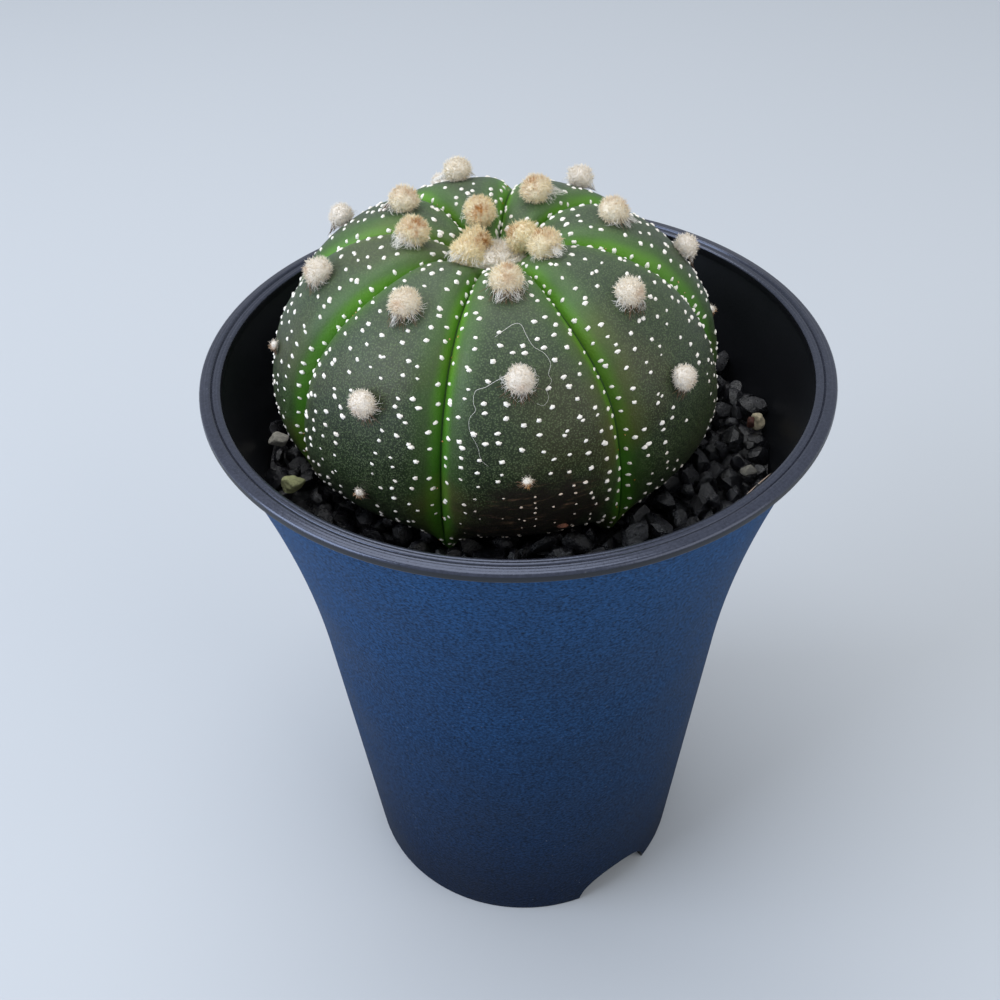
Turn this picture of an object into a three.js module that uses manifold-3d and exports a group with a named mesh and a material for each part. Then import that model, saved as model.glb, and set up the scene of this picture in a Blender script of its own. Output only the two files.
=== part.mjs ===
// A star cactus in a tall plastic pot, in millimetres, +Z up.
// The origin is the middle of the pot's foot, on the surface it stands on. The front is -Y.
import * as THREE from 'three';
import { mergeVertices } from 'three/addons/utils/BufferGeometryUtils.js';
import Module from 'manifold-3d';

// Pot
const POT_HEIGHT = 101;
const RIM_RADIUS = 45;
const FOOT_RADIUS = 27.64;
const WALL_TAPER = 0.0975; // outward run of the wall for each millimetre of height
const FLARE_START = 52; // height at which the straight wall starts to open like a bell
const FLARE_RUN = 6.8; // radius that the bell gains from there to the lip
const WALL = 1;
const POT_SIDES = 48;
const LIP_WIDTH = 3;
const LIP_DROP = 1.5; // height of the lip's rolled outer edge
const LIP_BEAD = 1.6; // width of the lip's outer bead, up to the fine groove
const LIP_GROOVE = 0.35; // width and depth of that groove
const FLOOR_HEIGHT = 8; // underside of the floor, above the foot
const FLOOR_THICKNESS = 1.4;
const FOOT_RING = 1.7;
const CORNER = 0.4;
const DRAIN_RADIUS = 5;
const NOTCH_RADIUS = 7.4; // arched drainage bites in the foot
const NOTCH_AZIMUTHS = [-54, 66, 186];

// Filling
const CLEARANCE = 0.3; // kept between pieces that touch
const SOIL_TOP = 81.5;
const GRIT_TOP = 85.7; // the level that the stones are bedded in
const SOIL_SIDES = 24;
const GRIT_SPACING = 6;
const GRIT_SCATTER = 1;
const GRIT_SIZES = [2.1, 3.3]; // half of a stone's shortest and longest side
const GRIT_RISE = [0.1, 0.9]; // of a stone's middle above GRIT_TOP
const GRIT_HOLE = 27; // stones nearer to the plant's axis than this would be under it
const PALE_STONE_HEIGHT = 2.1; // of a pale stone's middle above GRIT_TOP
const PALE_STONES = [
  { name: 'pale_stone_left_back', at: [-35.6, -2], half: [1.9, 1.6, 1.3], colour: '#cfcbbd' },
  { name: 'pale_stone_left_front', at: [-32.4, -12.4], half: [2, 1.7, 1.6], colour: '#cfd39a' },
  { name: 'pale_stone_right', at: [35.9, 0.6], half: [1.3, 1.3, 1.6], colour: '#e4d6b4' },
];

// Cactus. Both outlines are [radius, height above PLANT_BASE], from the crown down to the neck.
const PLANT_BASE = 87.4;
const PLANT_FOOT = new THREE.Vector2(-2.8, 3.2); // axis at PLANT_BASE
const PLANT_CROWN = new THREE.Vector2(-2.8, -2.8); // axis at the crown: the plant leans to the front
const CROWN_HEIGHT = 33;
const RIDGE_OUTLINE = [
  [0, 29.8], [3, 30.6], [6.5, 33.2], [11.5, 34.9], [18, 33.6], [24.3, 29.4], [29.3, 22.4],
  [31.9, 13.6], [31.7, 7], [29.5, 2.8], [25, -0.4], [18, -3], [12, -5], [7, -7.4],
];
const GROOVE_OUTLINE = [
  [0, 29.8], [2.8, 29.7], [5.8, 30.5], [10.4, 32.3], [16.9, 31.5], [22.6, 27.6], [26.9, 21],
  [29.2, 13], [29.9, 5.6], [29.2, -0.4], [25.6, -3.4], [18, -4.6], [12, -5.8], [7, -7.4],
];
const GROOVE_AZIMUTHS = [-104, -57, -5, 36, 82, 128, 171, 209]; // degrees, where each rib starts
const GROOVE_SWAY = [0, -4.5, -4, 5, 0, 0, 0, 5.5]; // degrees that each groove turns aside near the crown
const SWAY_FADE = [0.28, 0.48]; // share of the way from crown to neck over which the sway dies out
const RIDGE_AZIMUTHS = [-83, -38, 12, 56, 107, 151, 192, 237];
const RIBS = RIDGE_AZIMUTHS.length;
const RIB_ROUNDING = 3.6; // 2 is a round rib, more is a flatter face with steeper flanks
const RIB_STATIONS = [-0.5, -0.46, -0.38, -0.26, -0.13, 0, 0.13, 0.26, 0.38, 0.46];
const SKIN_ROWS = 25;
const CROWN_ROWS = 9; // rows of skin round the crown
const ROOT_OUTLINE = [[5, -11], [2.6, -21]];
const ROOT_TIP = -31;
const ENVELOPE_SIDES = 30; // of the round hollow that the plant sits in

// White felt flecks: small points raised from the skin, in rows that sweep down from ridge to groove
const FLECK_RADIUS = 0.62;
const FLECK_RISE = 0.3;
const FLECK_ROW_STEP = 2; // a row of flecks for this many rows of skin
const FLECK_SWEEP = [0, 1, 2, 3]; // skin rows that a fleck row drops, station by station from the ridge
const FLECK_FIRST_ROW = 4;
const FLECK_LAST_ROW = 19;

// Woolly tufts, counted from the youngest. Each next one is five ribs further round and a step further out.
const TUFT_COUNT = 21;
const DRY_TUFT_COUNT = 6;
const TUFT_FIRST_RIB = 5;
const TUFT_RIB_STEP = 5;
const TUFT_FIRST_REACH = 4.6; // reach is the distance along a ridge from the middle of the crown
const TUFT_REACH_STEP = 1.5;
const TUFT_REACH_GROWTH = 0.006; // old skin has stretched, so the steps grow outwards
const RIB_STRETCH = [1, 0.96, 0.93, 0.87, 0.84, 0.87, 0.98, 1.01]; // the front ribs have grown longer
const TUFTS_IN_FELT = 2;
const YOUNG_TUFT_RADIUS = 2.45;
const OLD_TUFT_RADIUS = 1.8;
const DRY_TUFT_RADIUS = 0.9;
const TUFT_SIDES = 9;
const TUFT_OUTLINE = [[0.7, 0], [1, 0.45], [0.98, 0.95], [0.64, 1.38]]; // in tuft radii, up to TUFT_CROWN
const TUFT_CROWN = 1.55;
const FELT_RADIUS = 4.4;
const FELT_OUTLINE = [[0, 0], [FELT_RADIUS, 0], [0.85 * FELT_RADIUS, 1.7], [0, 2.2]];

const POT_COLOUR = '#20262f';
const SOIL_COLOUR = '#38291f';
const GRIT_COLOUR = '#1c1c20';
const SKIN_COLOUR = '#44624b';
const WOOL_COLOUR = '#e6d9bd';
const DRY_WOOL_COLOUR = '#b9ae9a';

const wasm = await Module();
wasm.setup();

const { degToRad, lerp, clamp, smoothstep } = THREE.MathUtils;
const pottedCactus = new THREE.Group();

function addPiece(name, solid, colour, roughness) {
  const geometry = geometryOf(largestBody(solid));
  const material = new THREE.MeshStandardMaterial({ color: colour, roughness, metalness: 0 });
  const piece = new THREE.Mesh(geometry, material);
  piece.name = name;
  pottedCactus.add(piece);
}

// Turns a closed geometry into a solid that can be joined and cut.
function solidOf(geometry) {
  const bare = geometry.clone();
  bare.deleteAttribute('normal');
  bare.deleteAttribute('uv');
  const merged = mergeVertices(bare, 1e-4);
  return new wasm.Manifold(new wasm.Mesh({
    numProp: 3,
    vertProperties: new Float32Array(merged.attributes.position.array),
    triVerts: new Uint32Array(merged.index.array),
  }));
}

function geometryOf(solid) {
  const mesh = solid.getMesh();
  const geometry = new THREE.BufferGeometry();
  geometry.setAttribute('position', new THREE.BufferAttribute(new Float32Array(mesh.vertProperties), 3));
  geometry.setIndex(new THREE.BufferAttribute(new Uint32Array(mesh.triVerts), 1));
  geometry.computeVertexNormals();
  return geometry;
}

// Drops the loose scraps that a cut may leave.
function largestBody(solid) {
  const bodies = solid.decompose();
  return bodies.reduce((best, body) => (body.volume() > best.volume() ? body : best));
}

function joined(solids) {
  return wasm.Manifold.union(solids);
}

// Turns a closed or axis-to-axis list of [radius, height] round the Z axis.
function turned(outline, sides) {
  const points = outline.map(([radius, height]) => new THREE.Vector2(radius, height));
  return new THREE.LatheGeometry(points, sides).rotateX(Math.PI / 2);
}

// Closes a stack of equal rings, from the top one down, with a point at each end.
function stackedRings(top, rings, bottom) {
  const count = rings[0].length;
  const positions = [top, ...rings.flat(), bottom].flatMap((point) => point.toArray());
  const last = rings.length * count + 1;
  const faces = [];
  for (let i = 0; i < count; i++) {
    const next = (i + 1) % count;
    faces.push(0, 1 + i, 1 + next);
    for (let row = 0; row < rings.length - 1; row++) {
      const upper = 1 + row * count;
      const lower = upper + count;
      faces.push(upper + i, lower + i, lower + next);
      faces.push(upper + i, lower + next, upper + next);
    }
    faces.push(last, last - count + next, last - count + i);
  }
  const geometry = new THREE.BufferGeometry();
  geometry.setAttribute('position', new THREE.BufferAttribute(new Float32Array(positions), 3));
  geometry.setIndex(faces);
  return geometry;
}

// A small repeatable source of random numbers between two limits.
function randomSource(seed) {
  let state = seed;
  return (low, high) => {
    state = (state * 1664525 + 1013904223) % 4294967296;
    return lerp(low, high, state / 4294967296);
  };
}

// Pot

function wallRadius(height) {
  const flare = Math.max(0, height - FLARE_START) / (POT_HEIGHT - FLARE_START);
  return FOOT_RADIUS + WALL_TAPER * height + FLARE_RUN * flare * flare;
}

// Points of the wall from one height to another, moved inwards by a distance.
function wallPoints(from, to, inwards, steps) {
  return Array.from({ length: steps + 1 }, (_, i) => {
    const height = lerp(from, to, i / steps);
    return [wallRadius(height) - inwards, height];
  });
}

function potSolid() {
  const floorTop = FLOOR_HEIGHT + FLOOR_THICKNESS;
  const lipInside = RIM_RADIUS - LIP_WIDTH;
  const grooveOutside = RIM_RADIUS - LIP_BEAD;
  const outline = [
    [FOOT_RADIUS - FOOT_RING, 0],
    [FOOT_RADIUS - CORNER, 0],
    ...wallPoints(CORNER, FLARE_START, 0, 1),
    ...wallPoints(FLARE_START, POT_HEIGHT - LIP_DROP, 0, 5).slice(1),
    [RIM_RADIUS, POT_HEIGHT - LIP_DROP],
    [RIM_RADIUS, POT_HEIGHT - CORNER],
    [RIM_RADIUS - CORNER, POT_HEIGHT],
    [grooveOutside, POT_HEIGHT],
    [grooveOutside - LIP_GROOVE / 2, POT_HEIGHT - LIP_GROOVE],
    [grooveOutside - LIP_GROOVE, POT_HEIGHT],
    [lipInside, POT_HEIGHT],
    [lipInside, POT_HEIGHT - LIP_DROP],
    ...wallPoints(POT_HEIGHT - LIP_DROP - CORNER, FLARE_START, WALL, 4),
    [wallRadius(floorTop) - WALL, floorTop],
    [DRAIN_RADIUS, floorTop],
    [DRAIN_RADIUS, FLOOR_HEIGHT],
    [FOOT_RADIUS - FOOT_RING, FLOOR_HEIGHT],
    [FOOT_RADIUS - FOOT_RING, 0],
  ];
  let pot = solidOf(turned(outline, POT_SIDES));
  for (const azimuth of NOTCH_AZIMUTHS) {
    const bite = new THREE.CylinderGeometry(NOTCH_RADIUS, NOTCH_RADIUS, 3 * FOOT_RING + 2, 24);
    bite.rotateZ(Math.PI / 2).translate(FOOT_RADIUS, 0, -CORNER).rotateZ(degToRad(azimuth));
    pot = pot.subtract(solidOf(bite));
  }
  return pot;
}

// Cactus

const ridgeCurve = new THREE.SplineCurve(RIDGE_OUTLINE.map(([x, y]) => new THREE.Vector2(x, y)));
const grooveCurve = new THREE.SplineCurve(GROOVE_OUTLINE.map(([x, y]) => new THREE.Vector2(x, y)));
ridgeCurve.arcLengthDivisions = 400;

function plantPoint(radius, azimuth, height) {
  const axis = PLANT_FOOT.clone().lerp(PLANT_CROWN, clamp(height / CROWN_HEIGHT, 0, 1));
  return new THREE.Vector3(
    axis.x + radius * Math.cos(azimuth),
    axis.y + radius * Math.sin(azimuth),
    PLANT_BASE + height,
  );
}

// Azimuth of a groove, which is the rib's own number or the next one's, along from crown to neck.
function grooveAzimuth(groove, along) {
  const turns = groove < RIBS ? 0 : 360;
  const sway = GROOVE_SWAY[groove % RIBS] * (1 - smoothstep(along, ...SWAY_FADE));
  return GROOVE_AZIMUTHS[groove % RIBS] + turns + sway;
}

// Azimuth across a rib: -0.5 at one groove, 0 on the ridge, 0.5 at the next groove.
function ribAzimuth(rib, across, along) {
  const groove = grooveAzimuth(across < 0 ? rib : rib + 1, along);
  return degToRad(lerp(RIDGE_AZIMUTHS[rib], groove, Math.abs(2 * across)));
}

// The skin's outline at one place across a rib, as radius and height; along runs 0 to 1, crown to neck.
function skinOutline(across, along) {
  const rise = 1 - Math.abs(2 * across) ** RIB_ROUNDING;
  return grooveCurve.getPoint(along).lerp(ridgeCurve.getPoint(along), rise);
}

function skinPoint(rib, across, along, outwards = 0) {
  const place = skinOutline(across, along);
  if (outwards > 0) {
    const step = 0.002;
    const before = skinOutline(across, Math.max(0, along - step));
    const run = skinOutline(across, Math.min(1, along + step)).sub(before).normalize();
    place.add(new THREE.Vector2(-run.y, run.x).multiplyScalar(outwards));
  }
  return plantPoint(Math.max(0, place.x), ribAzimuth(rib, across, along), place.y);
}

// A frame on the skin whose Z axis points away from the plant.
function skinFrame(rib, across, along, lift) {
  const point = skinPoint(rib, across, along);
  const down = skinPoint(rib, across, along + 0.004).sub(skinPoint(rib, across, along - 0.004));
  const round = skinPoint(rib, across + 0.02, along).sub(skinPoint(rib, across - 0.02, along));
  const outwards = down.cross(round).normalize();
  const turn = new THREE.Quaternion().setFromUnitVectors(new THREE.Vector3(0, 0, 1), outwards);
  const place = point.addScaledVector(outwards, lift);
  return new THREE.Matrix4().compose(place, turn, new THREE.Vector3(1, 1, 1));
}

// Where along the outlines a distance from the middle of the crown falls.
function alongAt(reach) {
  return ridgeCurve.getUtoTmapping(0, reach);
}

function plantRings(rows, stations, outwards) {
  return Array.from({ length: rows }, (_, row) => {
    const along = (row + 1) / SKIN_ROWS;
    return RIDGE_AZIMUTHS.flatMap((_ridge, rib) => (
      stations.map((across) => skinPoint(rib, across, along, outwards))
    ));
  });
}

function plantSolid(tufts) {
  const rings = plantRings(SKIN_ROWS, RIB_STATIONS, 0);
  for (const [radius, height] of ROOT_OUTLINE) {
    rings.push(RIDGE_AZIMUTHS.flatMap((_ridge, rib) => (
      RIB_STATIONS.map((across) => plantPoint(radius, ribAzimuth(rib, across, 1), height))
    )));
  }
  const top = plantPoint(0, 0, RIDGE_OUTLINE[0][1]);
  return solidOf(withFlecks(stackedRings(top, rings, plantPoint(0, 0, ROOT_TIP)), tufts));
}

// The skin round the crown, moved outwards by the clearance, to cut the felt and tufts that grow there.
function crownEnvelope() {
  const stations = RIB_STATIONS.filter((_across, index) => index % 2 === 0);
  const top = plantPoint(0, 0, RIDGE_OUTLINE[0][1] + CLEARANCE);
  return solidOf(stackedRings(top, plantRings(CROWN_ROWS, stations, CLEARANCE), plantPoint(0, 0, 0)));
}

// Woolly tufts

function tuftPlaces() {
  return Array.from({ length: TUFT_COUNT + DRY_TUFT_COUNT }, (_, age) => {
    const rib = (TUFT_FIRST_RIB + TUFT_RIB_STEP * age) % RIBS;
    const step = TUFT_REACH_STEP + TUFT_REACH_GROWTH * age;
    const reach = RIB_STRETCH[rib] * (TUFT_FIRST_REACH + step * age);
    const dry = age >= TUFT_COUNT;
    const radius = dry ? DRY_TUFT_RADIUS : lerp(YOUNG_TUFT_RADIUS, OLD_TUFT_RADIUS, age / TUFT_COUNT);
    return { age, rib, along: alongAt(reach), radius, dry };
  });
}

function tuftSolid({ age, rib, along, radius }) {
  const random = randomSource(100 + age);
  const ring = ([size, height]) => Array.from({ length: TUFT_SIDES }, (_, i) => {
    const angle = 2 * Math.PI * i / TUFT_SIDES;
    const reach = radius * size * random(0.92, 1.04);
    return new THREE.Vector3(reach * Math.cos(angle), reach * Math.sin(angle), radius * height);
  });
  const rings = TUFT_OUTLINE.map(ring).reverse();
  const top = new THREE.Vector3(0, 0, radius * TUFT_CROWN);
  const geometry = stackedRings(top, rings, new THREE.Vector3());
  return solidOf(geometry.applyMatrix4(skinFrame(rib, 0, along, CLEARANCE)));
}

// Names a tuft by its rib, counted round from the front one, and its place down that rib.
function tuftName({ rib, dry }, earlier) {
  const place = earlier.filter((tuft) => tuft.rib === rib).length + 1;
  return `rib_${rib + 1}_${dry ? 'dry_tuft' : 'wool_tuft'}_${place}`;
}

// The felt in the crown's hollow, grown together with the youngest tufts.
function crownFelt(tufts, envelope) {
  const centre = plantPoint(0, 0, RIDGE_OUTLINE[0][1]);
  const felt = turned(FELT_OUTLINE, 12).translate(centre.x, centre.y, centre.z);
  return joined([solidOf(felt), ...tufts.map(tuftSolid)]).subtract(envelope);
}

// Flecks

// Whether a skin triangle is one that carries a fleck. Its first corner is the cell's upper left one.
function isFleckPlace(corner, next) {
  const columns = RIBS * RIB_STATIONS.length;
  const row = Math.floor((corner - 1) / columns);
  const station = (corner - 1) % RIB_STATIONS.length;
  const fromRidge = Math.floor(Math.abs(station + 0.5 - RIB_STATIONS.length / 2));
  const onRow = row >= FLECK_FIRST_ROW && row <= FLECK_LAST_ROW;
  const onSweep = (row - FLECK_SWEEP[fromRidge]) % FLECK_ROW_STEP === 0;
  const lowerHalf = next === corner + columns;
  return onRow && onSweep && lowerHalf === (row % 4 < 2);
}

// Lifts a small point out of the middle of some of the skin's triangles, clear of the tufts.
function withFlecks(geometry, tufts) {
  const tuftPoints = tufts.map(({ rib, along, radius }) => ({ point: skinPoint(rib, 0, along), radius }));
  const positions = Array.from(geometry.attributes.position.array);
  const faces = [];
  for (let i = 0; i < geometry.index.count; i += 3) {
    const outer = [0, 1, 2].map((corner) => geometry.index.getX(i + corner));
    const triangle = new THREE.Triangle(...outer.map((index) => (
      new THREE.Vector3().fromArray(positions, 3 * index)
    )));
    const middle = triangle.getMidpoint(new THREE.Vector3());
    const free = tuftPoints.every(({ point, radius }) => (
      point.distanceTo(middle) > radius + 2 * FLECK_RADIUS
    ));
    if (!free || !isFleckPlace(outer[0], outer[1])) {
      faces.push(...outer);
      continue;
    }
    const rim = positions.length / 3;
    for (const corner of [triangle.a, triangle.b, triangle.c]) {
      const share = Math.min(0.8, FLECK_RADIUS / middle.distanceTo(corner));
      positions.push(...middle.clone().lerp(corner, share).toArray());
    }
    const normal = triangle.getNormal(new THREE.Vector3());
    positions.push(...middle.addScaledVector(normal, FLECK_RISE).toArray());
    for (let side = 0; side < 3; side++) {
      const next = (side + 1) % 3;
      faces.push(outer[side], outer[next], rim + next);
      faces.push(outer[side], rim + next, rim + side);
      faces.push(rim + side, rim + next, rim + 3);
    }
  }
  const flecked = new THREE.BufferGeometry();
  flecked.setAttribute('position', new THREE.BufferAttribute(new Float32Array(positions), 3));
  flecked.setIndex(faces);
  return flecked;
}

// Filling

function soilSolid() {
  const bottom = FLOOR_HEIGHT + FLOOR_THICKNESS + CLEARANCE;
  const outline = [
    [0, bottom],
    ...wallPoints(bottom, SOIL_TOP, WALL + CLEARANCE, 4),
    [0, SOIL_TOP],
  ];
  const hole = [
    [0, ROOT_TIP - CLEARANCE],
    ...ROOT_OUTLINE.toReversed().map(([radius, height]) => [radius + 2 * CLEARANCE, height]),
    [RIDGE_OUTLINE.at(-1)[0] + 4 * CLEARANCE, RIDGE_OUTLINE.at(-1)[1]],
    [RIDGE_OUTLINE.at(-2)[0] + 4 * CLEARANCE, RIDGE_OUTLINE.at(-2)[1] - CLEARANCE],
    [0, RIDGE_OUTLINE.at(-2)[1] - CLEARANCE],
  ];
  const holeShape = turned(hole, SOIL_SIDES).translate(PLANT_FOOT.x, PLANT_FOOT.y, PLANT_BASE);
  return solidOf(turned(outline, SOIL_SIDES)).subtract(solidOf(holeShape));
}

// A lumpy angular stone.
function stoneShape(random, half) {
  const stone = new THREE.IcosahedronGeometry(1, 0);
  stone.deleteAttribute('normal');
  stone.deleteAttribute('uv');
  const lump = mergeVertices(stone);
  const corners = lump.attributes.position;
  for (let i = 0; i < corners.count; i++) {
    const swell = random(0.8, 1.15);
    corners.setXYZ(i, corners.getX(i) * swell, corners.getY(i) * swell, corners.getZ(i) * swell);
  }
  lump.scale(...half);
  lump.rotateX(random(0, Math.PI)).rotateZ(random(0, 2 * Math.PI));
  return lump;
}

// A rounder shape than the lower half of the plant, which the grit keeps clear of.
function plantEnvelope() {
  const rings = [];
  for (let row = Math.floor(SKIN_ROWS / 2); row <= SKIN_ROWS; row++) {
    const ridge = ridgeCurve.getPoint(row / SKIN_ROWS);
    const groove = grooveCurve.getPoint(row / SKIN_ROWS);
    const radius = Math.max(ridge.x, groove.x) + 1.3 * CLEARANCE;
    const height = Math.min(ridge.y, groove.y) - CLEARANCE;
    rings.push(Array.from({ length: ENVELOPE_SIDES }, (_, side) => (
      plantPoint(radius, 2 * Math.PI * side / ENVELOPE_SIDES, height)
    )));
  }
  const bottom = plantPoint(0, 0, RIDGE_OUTLINE.at(-1)[1] - 2);
  return solidOf(stackedRings(plantPoint(0, 0, 2 * CROWN_HEIGHT), rings, bottom));
}

// Room swells the stone by a distance, for the pocket that it lies in.
function paleStoneShape({ at, half }, index, room = 0) {
  const size = half.map((side) => side * (1 + room / Math.min(...half)));
  return stoneShape(randomSource(40 + index), size).translate(at[0], at[1], GRIT_TOP + PALE_STONE_HEIGHT);
}

// One layer of stones on a bed, kept inside the pot's wall and outside the plant.
function gritSolid() {
  const random = randomSource(3);
  const bottom = SOIL_TOP + CLEARANCE;
  const top = GRIT_TOP + 2 * GRIT_SIZES[1];
  const inside = [[0, bottom], ...wallPoints(bottom, top, WALL + CLEARANCE, 2), [0, top]];
  const bed = [[0, bottom], [RIM_RADIUS, bottom], [RIM_RADIUS, GRIT_TOP], [0, GRIT_TOP]];
  const stones = [];
  const rows = Math.ceil(RIM_RADIUS / GRIT_SPACING);
  for (let row = -rows; row <= rows; row++) {
    for (let column = -rows; column <= rows; column++) {
      const x = (column + (row % 2) / 2) * GRIT_SPACING + random(-GRIT_SCATTER, GRIT_SCATTER);
      const y = row * GRIT_SPACING * Math.sqrt(0.75) + random(-GRIT_SCATTER, GRIT_SCATTER);
      const half = [random(...GRIT_SIZES), random(...GRIT_SIZES), random(...GRIT_SIZES)];
      const stone = stoneShape(random, half).translate(x, y, GRIT_TOP + random(...GRIT_RISE));
      const fromPlant = Math.hypot(x - PLANT_FOOT.x, y - PLANT_FOOT.y);
      if (Math.hypot(x, y) < wallRadius(GRIT_TOP) - WALL && fromPlant > GRIT_HOLE) {
        stones.push(solidOf(stone));
      }
    }
  }
  let grit = joined([solidOf(turned(bed, POT_SIDES)), ...stones]);
  grit = grit.intersect(solidOf(turned(inside, POT_SIDES))).subtract(plantEnvelope());
  PALE_STONES.forEach((stone, index) => {
    grit = grit.subtract(solidOf(paleStoneShape(stone, index, 1.5 * CLEARANCE)));
  });
  return grit;
}

const tufts = tuftPlaces();
const crown = crownEnvelope();

addPiece('pot', potSolid(), POT_COLOUR, 0.45);
addPiece('potting_soil', soilSolid(), SOIL_COLOUR, 0.95);
addPiece('grit_top_dressing', gritSolid(), GRIT_COLOUR, 0.35);
addPiece('cactus_body', plantSolid(tufts), SKIN_COLOUR, 0.6);
addPiece('crown_felt', crownFelt(tufts.slice(0, TUFTS_IN_FELT), crown), WOOL_COLOUR, 0.95);
tufts.slice(TUFTS_IN_FELT).forEach((tuft, index) => {
  const name = tuftName(tuft, tufts.slice(0, TUFTS_IN_FELT + index));
  const colour = tuft.dry ? DRY_WOOL_COLOUR : WOOL_COLOUR;
  addPiece(name, tuftSolid(tuft).subtract(crown), colour, 0.95);
});
PALE_STONES.forEach((stone, index) => {
  addPiece(stone.name, solidOf(paleStoneShape(stone, index)), stone.colour, 0.6);
});

export default pottedCactus;
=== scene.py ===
# %% [markdown]
# # A star cactus in a tall plastic pot
# The real object is a young, spineless star cactus, about 64 mm across, in a thin black nursery
# pot, with a top dressing of black grit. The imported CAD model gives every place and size. This
# script dresses it: it keeps the soil, and puts a finer, fuller piece in place of each other solid.
# All lengths are written in millimetres and multiplied by MM, because Blender works in metres.

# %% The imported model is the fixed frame
import math

import bmesh
import bpy
import numpy as np
from mathutils import Matrix, Vector, noise
from mathutils.bvhtree import BVHTree


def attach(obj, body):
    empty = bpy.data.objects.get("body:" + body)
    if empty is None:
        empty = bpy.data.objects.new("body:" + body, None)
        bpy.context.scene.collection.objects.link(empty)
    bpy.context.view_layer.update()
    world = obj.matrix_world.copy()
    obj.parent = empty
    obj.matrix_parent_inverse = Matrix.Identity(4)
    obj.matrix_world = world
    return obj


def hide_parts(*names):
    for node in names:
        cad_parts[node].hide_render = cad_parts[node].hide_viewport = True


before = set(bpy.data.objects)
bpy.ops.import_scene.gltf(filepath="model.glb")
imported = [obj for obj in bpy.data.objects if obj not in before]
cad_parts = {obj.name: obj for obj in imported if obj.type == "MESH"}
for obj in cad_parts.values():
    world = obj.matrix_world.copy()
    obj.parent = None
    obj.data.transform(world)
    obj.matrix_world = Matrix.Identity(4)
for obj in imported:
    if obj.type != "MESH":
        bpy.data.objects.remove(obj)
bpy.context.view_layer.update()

MM = 0.001

# %% [markdown]
# ## Small helpers
# Node trees are easiest to read as one line for each node. `add_node` makes a node, sets its
# properties and feeds its inputs, with a plain value, another node or a colour. Colours are given
# as sRGB hex values, but shaders count in linear light, so one function converts them.
# Points are kept as arrays in millimetres until they become a mesh.

# %% Helpers for nodes, colours and meshes


def hex_colour(code):
    """An sRGB hex colour as the linear RGBA that a shader takes."""
    channels = [int(code[i:i + 2], 16) / 255 for i in (1, 3, 5)]
    linear = [c / 12.92 if c <= 0.04045 else ((c + 0.055) / 1.055) ** 2.4 for c in channels]
    return (*linear, 1.0)


def feed(tree, node, feeds):
    """Gives inputs, by name or by number, a value, a hex colour, a node or an output."""
    shown = [socket for socket in node.inputs if socket.enabled]
    for key, value in feeds.items():
        socket = shown[key] if isinstance(key, int) else next(s for s in shown if s.name == key)
        if isinstance(value, str) and value.startswith("#"):
            value = hex_colour(value)
        if isinstance(value, bpy.types.Node):
            value = next(output for output in value.outputs if output.enabled)
        if isinstance(value, bpy.types.NodeSocket):
            tree.links.new(value, socket)
        else:
            socket.default_value = value


def add_node(tree, kind, feeds=None, **settings):
    """Adds a node with its settings and feeds its inputs."""
    node = tree.nodes.new(kind)
    for name, value in settings.items():
        setattr(node, name, value)
    feed(tree, node, feeds or {})
    return node


def new_material(name):
    """A new material, its node tree, its shader and the Object coordinates."""
    material = bpy.data.materials.new(name)
    material.use_nodes = True
    tree = material.node_tree
    where = add_node(tree, "ShaderNodeTexCoord").outputs["Object"]
    return material, tree, tree.nodes["Principled BSDF"], where


def mesh_of(name, points, faces=(), smooth=True, unit=MM):
    """A mesh from points, in millimetres unless another unit is given."""
    mesh = bpy.data.meshes.new(name)
    mesh.from_pydata(np.asarray(points, float) * unit, [], faces)
    if smooth:
        mesh.shade_smooth()
    return mesh


def plain_object(name, mesh):
    """An object at the origin that shows this mesh."""
    mesh.name = name
    obj = bpy.data.objects.new(name, mesh)
    bpy.context.scene.collection.objects.link(obj)
    return obj


print("pale wool in linear light:", [round(c, 3) for c in hex_colour("#efe6d2")])

# %% [markdown]
# ## Camera
# The photograph was taken from close by and about 40 degrees above the rim. The three directions
# below were worked out from the rim's and the foot's ellipses. They are the camera's right, up and
# back, which are the columns of its matrix. A 45 mm lens on a 36 mm wide frame is 1250 pixels long.

# %% Camera at the photograph's place
CAMERA_PLACE = Vector((0, -148.583, 202.908)) * MM
CAMERA_RIGHT = Vector((0.999745, 0.000424, -0.022566))
CAMERA_UP = Vector((0.016728, 0.657315, 0.753430))
CAMERA_BACK = Vector((0.015153, -0.753616, 0.657140))
LENS = 45
SENSOR = 36
IMAGE = 1000

camera = bpy.data.objects.new("camera", bpy.data.cameras.new("camera"))
bpy.context.scene.collection.objects.link(camera)
camera.data.lens = LENS
camera.data.sensor_width = SENSOR
camera.data.clip_start = 0.01
turn = Matrix((CAMERA_RIGHT, CAMERA_UP, CAMERA_BACK)).transposed()
camera.matrix_world = Matrix.Translation(CAMERA_PLACE) @ turn.to_4x4()
bpy.context.scene.camera = camera


def sight_line(u, v):
    """The direction in which the camera sees pixel (u, v) of the photograph."""
    focal = LENS / SENSOR * IMAGE
    right, down = (u - IMAGE / 2) / focal, (v - IMAGE / 2) / focal
    return (CAMERA_RIGHT * right - CAMERA_UP * down - CAMERA_BACK).normalized()


print("camera height above the table:", round(CAMERA_PLACE.z / MM), "mm")

# %% [markdown]
# ## Table and light
# Overcast daylight is one big soft source. A pale world lights everything evenly. A wide lamp
# overhead and a cool one on the left add the soft sheen on the crown and on the pot's left wall,
# and a weaker one on the right keeps the shadow side readable. The table is a plain pale sheet,
# wide enough that its edge never shows.

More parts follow.
